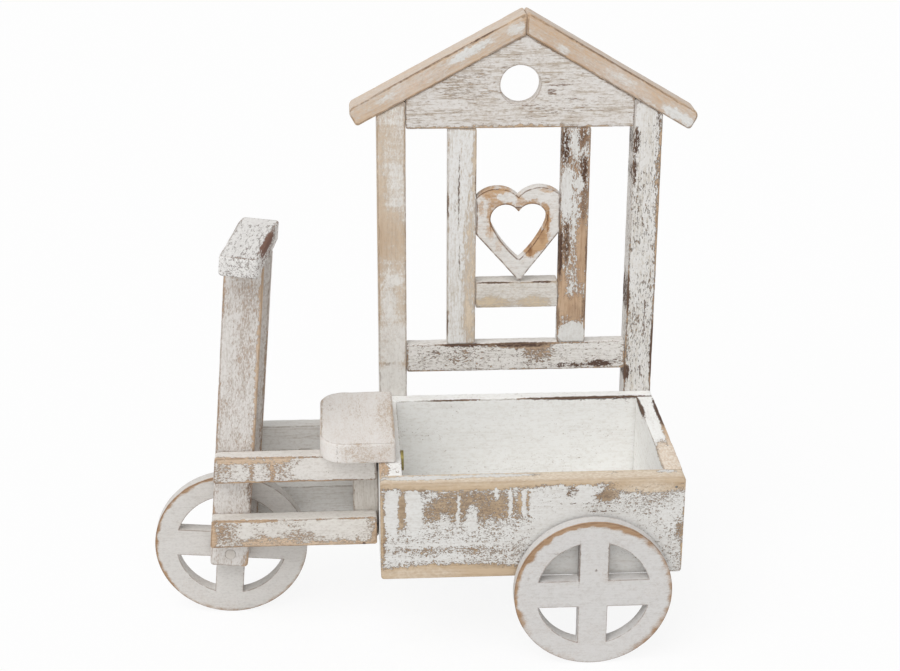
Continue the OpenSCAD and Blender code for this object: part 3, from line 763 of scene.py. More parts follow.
@dataclass(frozen=True)
class Whitewash:
    """Whitewashed wood that is worn and brushed back.

    Length stretches the pattern along the grain. Cover, flakes, flecks and streaks say how much paint
    is left and how it breaks up, thin and mottle how far the wood shows through it. Spots add or take
    paint, stains darken the bare wood, washes whiten it, and edge spots add to the wear of the edges.
    """

    name: str
    grain: Grain = Grain.ALONG_X
    length: float = 2.0
    cover: float = 0.72
    flakes: float = 1.1
    flecks: float = 1.0
    streaks: float = 0.0
    soft: float = 0.1
    thin: float = 0.35
    mottle: float = 0.3
    edge_width: float = 1.6
    edge_loss: float = 0.5
    edge_line: float = 0.45
    spots: tuple[Spot, ...] = ()
    stains: tuple[Spot, ...] = ()
    washes: tuple[Spot, ...] = ()
    edge_spots: tuple[Spot, ...] = ()
    paint: tuple[int, int, int] = (226, 225, 222)
    thin_paint: tuple[int, int, int] = (184, 175, 164)
    light_wood: tuple[int, int, int] = (212, 187, 160)
    dark_wood: tuple[int, int, int] = (181, 151, 122)
    fringe: tuple[int, int, int] = (122, 103, 89)
    fringe_share: float = 0.85
    stain: tuple[int, int, int] = (92, 73, 63)
    wash: tuple[int, int, int] = (233, 223, 208)
    line: tuple[int, int, int] = (124, 100, 80)
    seed: float = 0.0

    @staticmethod
    def spots_sum(g: Graph, effects: Effects, point: bpy.types.NodeSocket, spots: Iterable[Spot]) -> object:
        """Adds up some spots at a point of the board's own frame.

        Args:
            g: the graph to build in.
            effects: the shared shader groups.
            point: the point.
            spots: the spots.

        Returns:
            The socket of their sum, or 0 without any spots.
        """
        total: object = 0.0
        for spot in spots:
            y, ry = (0.0, THROUGH) if spot.y is None else (spot.y * MM, spot.ry * MM)
            made = g.node("ShaderNodeGroup", {
                "Point": point, "Centre": (spot.x * MM, y, spot.z * MM),
                "Size": (spot.rx * MM, ry, spot.rz * MM),
            }, node_tree=effects.spot)
            total = g.math("MULTIPLY_ADD", made.outputs["Spot"], spot.amount, total)
        return total

    @staticmethod
    def frayed(g: Graph, point: bpy.types.NodeSocket) -> list[bpy.types.NodeSocket]:
        """Shakes a point widely for spots and a little for thin marks, which frays their borders.

        Args:
            g: the graph to build in.
            point: the point.

        Returns:
            The point for spots and the point for thin marks.
        """
        shake = g.node("ShaderNodeTexNoise",
                       {"Vector": point, "Scale": 250.0, "Detail": 5.0, "Roughness": 0.65})
        shift = g.vector("SUBTRACT", shake.outputs["Color"], (0.5, 0.5, 0.5))
        return [g.vector("MULTIPLY_ADD", shift, (far,) * 3, point) for far in (SPOT_SHAKE, MARK_SHAKE)]

    @staticmethod
    def own_point(g: Graph, place: Matrix) -> bpy.types.NodeSocket:
        """The shaded point in the board's own frame, in metres.

        Args:
            g: the graph to build in.
            place: the board's own frame.

        Returns:
            The point.
        """
        own = Matrix.Translation(CORNER) @ place
        mapping = g.node("ShaderNodeMapping", {
            "Vector": g.node("ShaderNodeTexCoord").outputs["Object"],
            "Location": tuple(own.to_translation() * MM), "Rotation": tuple(own.to_euler("XYZ")),
        }, vector_type="TEXTURE")
        return mapping.outputs["Vector"]

    def material(self, effects: Effects, place: Matrix = Matrix()) -> bpy.types.Material:
        """Builds the material.

        Args:
            effects: the shared shader groups.
            place: the board's own frame, that its spots and grain follow.

        Returns:
            The material.
        """
        made, g = new_material(self.name)
        own = self.own_point(g, place)
        turned = g.node("ShaderNodeMapping", {
            "Vector": own, "Rotation": tuple(math.radians(a) for a in self.grain.value),
            "Location": tuple(self.seed * share for share in SEED_SHIFT)})
        point = turned.outputs["Vector"]
        edge = g.node("ShaderNodeAttribute", attribute_name=EDGE).outputs["Fac"]
        frayed, fine = self.frayed(g, own)
        stained = self.spots_sum(g, effects, fine, self.stains)
        bare = g.math("MULTIPLY_ADD", stained, -0.5, self.spots_sum(g, effects, frayed, self.spots))

        cover = g.node("ShaderNodeGroup", {
            "Point": point, "Length": self.length, "Edge": edge, "Spots": bare,
            "Edge Spots": self.spots_sum(g, effects, own, self.edge_spots), "Cover": self.cover,
            "Flakes": self.flakes, "Flecks": self.flecks, "Streaks": self.streaks, "Softness": self.soft,
            "Edge Width": self.edge_width * MM, "Edge Loss": self.edge_loss,
        }, node_tree=effects.cover)
        paint, margin = cover.outputs["Paint"], cover.outputs["Margin"]

        grain = g.node("ShaderNodeGroup", {
            "Point": point, "Light": linear(*self.light_wood), "Dark": linear(*self.dark_wood),
        }, node_tree=effects.grain)
        relief, wood = grain.outputs["Relief"], grain.outputs["Colour"]
        speckle = g.noise(point, (330, 520, 520), 4, 0.7)
        if self.washes:
            hazy = g.math("MULTIPLY", self.spots_sum(g, effects, frayed, self.washes),
                          g.step(speckle, 0.35, 0.62, 1.0, 0.4), clamp=True)
            wood = g.blend(hazy, wood, linear(*self.wash))
        wood = g.blend(g.step(margin, -0.3, -0.05, 0.0, self.fringe_share), wood, linear(*self.fringe))
        if self.stains:
            dark = g.math("MULTIPLY", stained, g.step(speckle, 0.36, 0.6, 1.2, 2.2), clamp=True)
            wood = g.blend(dark, wood, linear(*self.stain))

        cloud = g.noise(point, (35, 90, 90), 3, 0.6)
        clouded = g.math("MULTIPLY_ADD", g.math("SUBTRACT", cloud, 0.5), 0.35, relief)
        lines = g.step(clouded, 0.47, 0.66, 0.0, self.thin)
        faint = g.step(speckle, 0.44, 0.7, 0.0, self.mottle)
        coat = g.blend(g.math("ADD", lines, faint, clamp=True), linear(*self.paint),
                       linear(*self.thin_paint))
        colour = g.blend(paint, wood, coat)
        if self.edge_line:
            lined = g.math("MULTIPLY", cover.outputs["Line"], self.edge_line)
            colour = g.blend(lined, colour, linear(*self.line))

        height = g.math("ADD", g.math("MULTIPLY", paint, 0.55), g.math("MULTIPLY", relief, 0.9))
        smooth = g.math("ADD", paint, g.math("MULTIPLY", cloud, 0.6))
        g.surface(g.node("ShaderNodeBsdfPrincipled", {
            "Base Color": colour, "Roughness": g.step(smooth, 0.0, 1.6, 0.88, 0.66),
            "Normal": g.bump(height, 0.6, WOOD_RELIEF), "Specular IOR Level": 0.3}))
        return made


@dataclass(frozen=True)
class Metal:
    """A plain or plated metal with fine scratches and dull patches."""

    name: str
    bright: tuple[int, int, int]
    dull: tuple[int, int, int]
    rough: float = 0.42

    def material(self) -> bpy.types.Material:
        """Builds the material.

        Returns:
            The material.
        """
        made, g = new_material(self.name)
        point = g.node("ShaderNodeTexCoord").outputs["Object"]
        cloud = g.noise(point, (420, 420, 420), 4, 0.6)
        scratch = g.noise(point, (300, 2600, 2600), 2, 0.6)
        g.surface(g.node("ShaderNodeBsdfPrincipled", {
            "Base Color": g.blend(g.step(cloud, 0.4, 0.65), linear(*self.bright), linear(*self.dull)),
            "Metallic": 0.85, "Roughness": g.step(scratch, 0.3, 0.7, self.rough, self.rough + 0.2),
            "Normal": g.bump(scratch, 0.3, METAL_RELIEF)}))
        return made


# Sub-assemblies


@dataclass
class Workshop:
    """Builds pieces, dresses them and attaches them to their bodies."""

    effects: Effects

    def dress(self, thing: bpy.types.Object, node: str, body: Body, coat: bpy.types.Material) -> None:
        """Gives a finished piece its material, slot and body, and hides the CAD node that it stands for.

        Args:
            thing: the piece.
            node: the CAD node that it stands for.
            body: the body that it rides on.
            coat: its material.
        """
        thing.data.materials.clear()
        thing.data.materials.append(coat)
        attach(thing, body.value)
        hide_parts(node)
        low, high = (np.array(corner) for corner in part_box(node))
        own = np.array([v.co for v in thing.data.vertices])
        over = max(*(low - own.min(0)), *(own.max(0) - high), 0.0) / MM
        short = max(*(own.min(0) - low), *(high - own.max(0)), 0.0) / MM
        log.info("%s: %d faces on %s, %.2f mm over and %.2f mm short of its node", thing.name,
                 len(thing.data.polygons), body.value, over, short)

    def board(self, node: str, loops: list[Loop], low: float, high: float, plane: Plane, finish: Whitewash,
              wear: Wear, body: Body = Body.FRAME, own: Matrix = Matrix()) -> bpy.types.Object:
        """Builds and dresses one worn board.

        Args:
            node: the CAD node that it stands for.
            loops: its outline and holes.
            low, high: where it starts and ends along its depth.
            plane: how its outline stands in its own frame.
            finish: its finish.
            wear: how far it is worn.
            body: the body that it rides on.
            own: the board's own frame in the part.

        Returns:
            The piece.
        """
        thing = WornBoard(f"{node}.worn", loops, low, high, own @ plane.matrix(), wear).build()
        self.dress(thing, node, body, finish.material(self.effects, own))
        return thing

    def plain(self, node: str, plane: Plane, finish: Whitewash, wear: Wear = Wear(),
              holes: Sequence[Loop] = (), corner: float = CORNER_R) -> bpy.types.Object:
        """Builds and dresses a square board from the box of its CAD node.

        Args:
            node: the CAD node.
            plane: how its outline stands.
            finish: its finish.
            wear: how far it is worn.
            holes: loops of holes through it.
            corner: rounding of its four corners in the outline.

        Returns:
            The piece.
        """
        low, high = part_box(node)
        turn = plane.matrix().inverted()
        a, b = (turn @ (low / MM - CORNER)), (turn @ (high / MM - CORNER))
        loops = [corner_loop(rectangle(a.x, a.y, b.x, b.y, corner)), *holes]
        return self.board(node, loops, a.z, b.z, plane, finish, wear)


@dataclass
class PlanterBox:
    """The four walls and the floor of the box, and the batten under it."""

    box_h: float = 80.0
    nail_x: float = 223.0
    nail_share: float = 0.9
    nail_r: float = 0.95
    nail_step: float = 0.5
    front_corner_r: float = 2.4
    mark_reach: float = 12.0
    clean: tuple[int, int, int] = (246, 246, 244)

    def outside(self, spots: Iterable[Spot]) -> tuple[Spot, ...]:
        """Keeps spots below the near wall's top from reaching through it.

        Args:
            spots: the spots.

        Returns:
            The spots, with those that would go through tied to the wall's outer face.
        """
        return tuple(spot if spot.y is not None or spot.z >= BOX_TOP
                     else replace(spot, y=0.0, ry=self.mark_reach) for spot in spots)

    def front(self) -> Whitewash:
        """Finish of the near wall: bare along its top and bottom, streaks between, plain inside.

        Returns:
            The finish.
        """
        top = BOX_TOP
        outer = Whitewash(
            "whitewash_box_front", length=1.25, cover=0.6, flakes=1.35, flecks=1.3, streaks=0.22, soft=0.07,
            thin=0.25, edge_width=2.2, edge_loss=0.7, edge_line=0.25, seed=1,
            spots=(
                Spot(64, top, 74, 6.8, -1.2), Spot(150, top, 26, 4.6, -1.2), Spot(205, 145, 38, 7, -0.5),
                Spot(204, top, 34, 4.6, -0.9), Spot(8.5, 128, 5.6, 21, 0.5), Spot(25, 128, 6.6, 21, 0.5),
                Spot(16.2, 128, 3.0, 16, -0.62), Spot(62, 130, 36, 15, -0.2), Spot(94, 131, 14, 14, -0.18),
                Spot(58.5, 129, 1.6, 14, 0.6), Spot(97.5, 133, 1.6, 13, 0.7), Spot(87, 141, 1.8, 7, 0.5),
                Spot(48, 120, 4, 8, 0.24), Spot(69, 122, 5.4, 12, 0.28), Spot(108, 133, 1.8, 13, 0.6),
                Spot(113.5, 134, 1.4, 12, 0.6), Spot(105, 134, 1.6, 12, -0.35),
                Spot(111, 135, 1.3, 11, -0.35), Spot(134, 127, 26, 22, 0.18), Spot(161, 104, 52, 22, 0.26),
                Spot(153, 138, 8, 9, 0.2), Spot(144, 141, 5, 6, -0.24), Spot(170, 137, 10, 5, -0.24),
                Spot(200, 131, 26, 11, -0.05), Spot(50, 74, 70, 8, -1.1), Spot(161, 76, 52, 10, 0.9),
                Spot(45, 99, 50, 1.6, 0.3), Spot(46, 94, 40, 3.2, -0.14), Spot(42, 87, 40, 2, 0.12),
                Spot(227, 106, 4, 14, -0.14), Spot(214, 105, 14, 30, 0.05), Spot(1, 112, 2.6, 36, -0.5),
                Spot(34, top, 34, 6, 1.6, y=9.5, ry=4.6), Spot(88, top, 34, 6, 1.2, y=11, ry=3.2),
                Spot(217, top, 8, 6, 0.8, y=12, ry=4),
            ),
            stains=(
                Spot(62, 131, 38, 14, 0.13), Spot(31, 142, 6, 5, 0.25), Spot(16.5, 128, 3, 14, 0.22),
                Spot(144, 141, 4.6, 5.4, 0.22), Spot(170, 137, 9, 4.4, 0.24), Spot(227, 106, 3.4, 7, 0.15),
                Spot(84, 80, 18, 2.4, 0.1), Spot(5, 146, 26, 1.4, 0.14), Spot(155, 131, 15, 0.7, 0.4),
                Spot(172, 124, 16, 0.7, 0.35), Spot(2.6, 112, 1.2, 30, 0.2), Spot(134, 130, 30, 16, 0.05),
            ),
            washes=(
                Spot(115, top + 2, 200, 7, 0.7, y=9, ry=9), Spot(30, 75, 34, 5, 0.5),
                Spot(203, 134, 30, 16, 0.7), Spot(115, top, 200, 4, 0.2),
            ),
            edge_spots=(Spot(100, top, 140, 8, 0.3), Spot(161, BOX_Z, 52, 8, -0.8)),
            light_wood=(203, 181, 153), dark_wood=(177, 151, 121), fringe=(112, 97, 88),
        )
        inner = Spot(115, 112, 230, 80, 0.32, y=15, ry=9)
        return replace(outer, spots=(*self.outside(outer.spots), inner), stains=self.outside(outer.stains),
                       washes=self.outside(outer.washes))

    def build(self, shop: Workshop) -> None:
        """Builds the six boards.

        Args:
            shop: builds the pieces and dresses them.
        """
        nail_z = BOX_Z + self.nail_share * self.box_h
        nail = circle_loop(self.nail_x, nail_z, self.nail_r, step=self.nail_step)
        shop.plain("box_front", Plane.UPRIGHT, self.front(), Wear(edge=0.14, chip=0.25, most=0.44, seed=1),
                   [nail], self.front_corner_r)
        smooth = Whitewash(
            "whitewash_box_back", length=1.6, cover=0.8, flakes=1.0, flecks=1.3, thin=0.22, mottle=0.35,
            edge_width=1.2, edge_loss=0.35, paint=self.clean, thin_paint=(214, 209, 201), seed=2)
        back = replace(smooth, stains=(Spot(178, BOX_TOP, 62, 3.2, 0.95, y=154.3, ry=2.4),
                                       Spot(62, BOX_TOP, 30, 1.6, 0.55, y=154.2, ry=1.6),
                                       Spot(208, 145, 3, 1.3, 0.4, y=154, ry=2)))
        shop.plain("box_back", Plane.UPRIGHT, back, Wear(seed=2))
        left = replace(
            smooth, name="whitewash_box_left_end", grain=Grain.ALONG_Y, seed=3,
            spots=(Spot(3, BOX_TOP, 6, 4, -0.5, y=26, ry=16), Spot(12.5, BOX_TOP, 3, 4, -0.16, y=24, ry=6)))
        shop.plain("box_left_end", Plane.ACROSS, left, Wear(seed=3))
        right = replace(
            smooth, name="whitewash_box_right_end", grain=Grain.ALONG_Y, seed=4,
            spots=(Spot(229.5, BOX_TOP, 3.4, 5, -0.75, y=60, ry=80),
                   Spot(222, BOX_TOP, 9, 5, -0.8, y=30, ry=40)),
            washes=(Spot(222, BOX_TOP, 12, 6, 0.9, y=30, ry=50),), wash=(240, 232, 220),
            stains=(Spot(216.3, BOX_TOP, 2.6, 5, 0.85, y=132, ry=24),
                    Spot(228.6, BOX_TOP, 2.4, 5, 0.8, y=122, ry=32)))
        shop.plain("box_right_end", Plane.ACROSS, right, Wear(seed=4))
        shop.plain("box_floor", Plane.LEVEL, replace(smooth, name="whitewash_box_floor", seed=5),
                   Wear(seed=5))
        shop.plain("axle_batten", Plane.ACROSS,
                   replace(smooth, name="whitewash_axle_batten", grain=Grain.ALONG_Y, seed=6), Wear(seed=6))


@dataclass
class FrontFrame:
    """The four rails, the block between them and the seat."""

    axle_z: float = AXLE_Z
    front_reach: float = FRONT_REACH
    rake: float = 4.85
    post_w: float = 30.0
    end_gap: float = 1.5
    rail_r: float = CORNER_R
    near_shift: float = -0.7
    far_shift: float = 4.6
    seat_front_r: float = 20.0
    seat_rear_r: float = 2.6

    def post_edge(self, z: float, shift: float) -> float:
        """Place along X of the front edge of a fork post at a height.

        Args:
            z: the height.
            shift: the post's shift along X from the fork's middle line.

        Returns:
            The place along X.
        """
        slope = math.radians(self.rake)
        lean, width = (z - self.axle_z) * math.tan(slope), (shift - self.post_w / 2) / math.cos(slope)
        return -self.front_reach + lean + width

    def rail(self, shop: Workshop, node: str, shift: float, finish: Whitewash, wear: Wear) -> None:
        """Builds a rail whose front end follows its fork post.

        Args:
            shop: builds the pieces and dresses them.
            node: the rail's CAD node.
            shift: shift of its fork post.
            finish: its finish.
            wear: how far it is worn.
        """
        low, high = (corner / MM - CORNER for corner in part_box(node))
        outline = [
            (self.post_edge(low.z, shift), low.z, self.rail_r), (-self.end_gap, low.z, self.rail_r),
            (-self.end_gap, high.z, self.rail_r), (self.post_edge(high.z, shift), high.z, self.rail_r),
        ]
        shop.board(node, [corner_loop(outline)], low.y, high.y, Plane.UPRIGHT, finish, wear)

    def rails(self, shop: Workshop) -> None:
        """Builds the four rails.

        Args:
            shop: builds the pieces and dresses them.
        """
        upper = Whitewash(
            "whitewash_near_upper_rail", length=1.3, cover=0.6, flakes=1.2, flecks=1.4, streaks=0.4,
            soft=0.12, thin=0.25, mottle=0.4, fringe=(128, 111, 98), paint=(226, 222, 217), edge_line=0.55,
            seed=10,
            spots=(
                Spot(-96, 150, 38, 4.8, -1.0), Spot(-40, 140, 26, 15, 0.35), Spot(-10, 138, 18, 13, 0.25),
                Spot(-97.5, 138, 2.6, 9, -0.28), Spot(-81.5, 138, 2.2, 9, -0.3), Spot(-120, 142, 9, 4, -0.14),
                Spot(-58, 137, 8, 8, 0.12),
                Spot(-85, BOX_TOP, 60, 6, 1.8, y=59, ry=7.5),
            ),
            washes=(Spot(-95, 149, 44, 4, 0.3),),
            edge_spots=(Spot(-66, 128.8, 80, 3, 0.25),))
        lower = Whitewash(
            "whitewash_near_lower_rail", length=1.3, cover=0.6, flakes=1.2, flecks=1.4, streaks=0.35,
            soft=0.12, thin=0.3, mottle=0.4, fringe=(128, 111, 98), paint=(224, 220, 214), edge_line=0.55,
            seed=11,
            spots=(
                Spot(-130, 84, 3.4, 14, -0.5), Spot(-119, 86, 10, 12, -0.05), Spot(-104, 88, 5, 8, 0.2),
                Spot(-85, 90, 12, 4.5, 0.16), Spot(-86, 77.5, 24, 5, -0.45), Spot(-62, 83, 14, 4, -0.1),
                Spot(-34, 90, 28, 9, 0.24), Spot(-35, 74.5, 36, 3.2, -0.32), Spot(-2.5, 80, 4, 6.5, -0.4),
                Spot(-92, 96.8, 24, 2.4, -0.55), Spot(-66, 97.2, 85, 5, 1.6, y=59, ry=7.5),
            ),
            stains=(Spot(-122, 85, 7, 9, 0.11), Spot(-12, 74, 1.6, 1.2, 0.8, y=52, ry=3),
                    Spot(-60, 82, 12, 4, 0.08), Spot(-5, 80, 4, 5, 0.12)),
            washes=(Spot(-60, 78, 70, 8, 0.25),),
            edge_spots=(Spot(-66, 97.2, 80, 3, 0.25),))
        calm = Whitewash("whitewash_far_upper_rail", cover=0.86, flakes=0.9, thin=0.45, edge_loss=0.3,
                         seed=12)
        for node, shift, finish in (
            ("near_upper_rail", self.near_shift, upper), ("near_lower_rail", self.near_shift, lower),
            ("far_upper_rail", self.far_shift, calm),
            ("far_lower_rail", self.far_shift, replace(calm, name="whitewash_far_lower_rail", seed=13)),
        ):
            self.rail(shop, node, shift, finish, Wear(seed=finish.seed))

    def build(self, shop: Workshop) -> None:
        """Builds the rails, the block and the seat.

        Args:
            shop: builds the pieces and dresses them.
        """
        self.rails(shop)
        shop.plain("frame_block", Plane.UPRIGHT,
                   Whitewash("whitewash_frame_block", grain=Grain.ALONG_Z, cover=0.84, thin=0.5, mottle=0.5,
                             paint=(212, 207, 200), edge_loss=0.3, seed=15),
                   Wear(seed=15))
        low, high = (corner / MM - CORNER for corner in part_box("seat"))
        outline = [
            (low.x, low.y, self.seat_front_r), (high.x, low.y, self.seat_rear_r),
            (high.x, high.y, self.seat_rear_r), (low.x, high.y, self.seat_front_r),
        ]
        seat = Whitewash(
            "whitewash_seat", grain=Grain.ALONG_Y, length=2.4, cover=0.76, flakes=0.85, flecks=1.1,
            soft=0.22, thin=0.3, mottle=0.4, edge_width=2, edge_loss=0.25, edge_line=0.35,
            paint=(231, 227, 223), thin_paint=(212, 201, 190), light_wood=(224, 206, 185),
            dark_wood=(202, 180, 157), fringe=(168, 150, 136), fringe_share=0.5, seed=16,
            spots=(
                Spot(9, high.z, 12, 8, -0.18, y=85, ry=60), Spot(-10, 159, 24, 9, -0.24, y=36, ry=5),
                Spot(-38, 160, 8, 14, 0.4, y=44, ry=14),
            ),
            stains=(Spot(-37, high.z, 5, 6, 0.18, y=108, ry=9), Spot(-31.5, 158, 1, 9, 0.4, y=38, ry=5)))
        shop.board("seat", [corner_loop(outline)], low.z, high.z, Plane.LEVEL, seat,
                   Wear(edge=1.5, chip=1.2, most=2.5, seed=16))


@dataclass
class Fork:
    """The two raked posts and the handlebar across them."""

    frame: FrontFrame
    foot: float = 10.5
    foot_r: float = 3.0
    head_r: float = CORNER_R
    length: float = 242.0
    bore_r: float = AXLE_D / 2 + 0.12
    bar_l: float = 98.0
    bar_w: float = 30.0
    bar_t: float = 15.5
    bar_skew: float = 7.5
    bar_shift: float = 2.0
    bar_corner_r: float = 4.2
    frame_y: float = FRAME_Y

    def on_fork(self) -> Matrix:
        """The fork's own frame: origin on the axle, Z along the rake."""
        return (Matrix.Translation((-self.frame.front_reach, 0, self.frame.axle_z))
                @ Matrix.Rotation(math.radians(self.frame.rake), 4, "Y"))

    def posts(self, shop: Workshop) -> None:
        """Builds the two posts.

        Args:
            shop: builds the pieces and dresses them.
        """
        near = Whitewash(
            "whitewash_near_fork_post", grain=Grain.ALONG_Z, length=2.4, cover=0.66, flakes=1.0, flecks=1.3,
            soft=0.2, thin=0.4, mottle=0.5, edge_width=2.2, edge_loss=0.3, paint=(224, 220, 216), seed=20,
            spots=(
                Spot(-11, 178, 5, 30, 0.16), Spot(0, 222, 16, 14, -0.08), Spot(3, 182, 6, 40, -0.06),
                Spot(14.2, 150, 2.4, 100, -0.7), Spot(12, -4, 4, 8, -0.3), Spot(0, 15, 18, 26, 0.1),
            ),
            stains=(Spot(12, 57, 2, 12, 0.35), Spot(13.5, 45, 1.4, 10, 0.4)),
            washes=(Spot(0, 120, 16, 140, 0.35),),
            light_wood=(212, 188, 162), dark_wood=(186, 158, 131), fringe=(158, 136, 121))
        far = replace(near, name="whitewash_far_fork_post", cover=0.72, seed=21, spots=())
        half = self.frame.post_w / 2
        bore = circle_loop(0, 0, self.bore_r, step=1.0)
        for node, shift, finish in (
            ("near_fork_post", self.frame.near_shift, near), ("far_fork_post", self.frame.far_shift, far),
        ):
            low, high = (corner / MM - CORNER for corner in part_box(node))
            outline = [
                (shift - half, -self.foot, self.foot_r), (shift + half, -self.foot, self.foot_r),
                (shift + half, self.length, self.head_r), (shift - half, self.length, self.head_r),
            ]
            shop.board(node, [corner_loop(outline), bore], low.y, high.y, Plane.UPRIGHT, finish,
                       Wear(seed=finish.seed), own=self.on_fork())

    def build(self, shop: Workshop) -> None:
        """Builds the posts and the handlebar.

        Args:
            shop: builds the pieces and dresses them.
        """
        self.posts(shop)
        bar = (self.on_fork() @ Matrix.Translation((self.bar_shift, self.frame_y, self.length))
               @ Matrix.Rotation(math.radians(-self.bar_skew), 4, "Z"))
        half_w, half_l = self.bar_w / 2, self.bar_l / 2
        finish = Whitewash(
            "whitewash_handlebar", grain=Grain.ALONG_Y, length=3.4, cover=0.66, flakes=1.4, flecks=1.6,
            thin=0.25, mottle=0.25, edge_width=1.6, edge_loss=0.3, edge_line=0.3, paint=(234, 232, 229),
            fringe=(118, 110, 106), light_wood=(196, 184, 174), dark_wood=(170, 158, 150),
            thin_paint=(190, 184, 180), seed=22,
            spots=(Spot(0, 8, 20, 14, -0.04, y=-49, ry=5), Spot(0, 8, 20, 14, 0.25, y=42, ry=12)),
            stains=(Spot(15, 15, 4.6, 5, 0.85, y=-8, ry=34), Spot(15, 7, 3, 9, 0.35, y=-12, ry=40)),
            stain=(118, 88, 76))
        outline = corner_loop(rectangle(-half_w, -half_l, half_w, half_l, self.bar_corner_r))
        shop.board("handlebar", [outline], 0, self.bar_t, Plane.LEVEL, finish,
                   Wear(edge=1.7, chip=0.9, most=2.6, seed=22), own=bar)


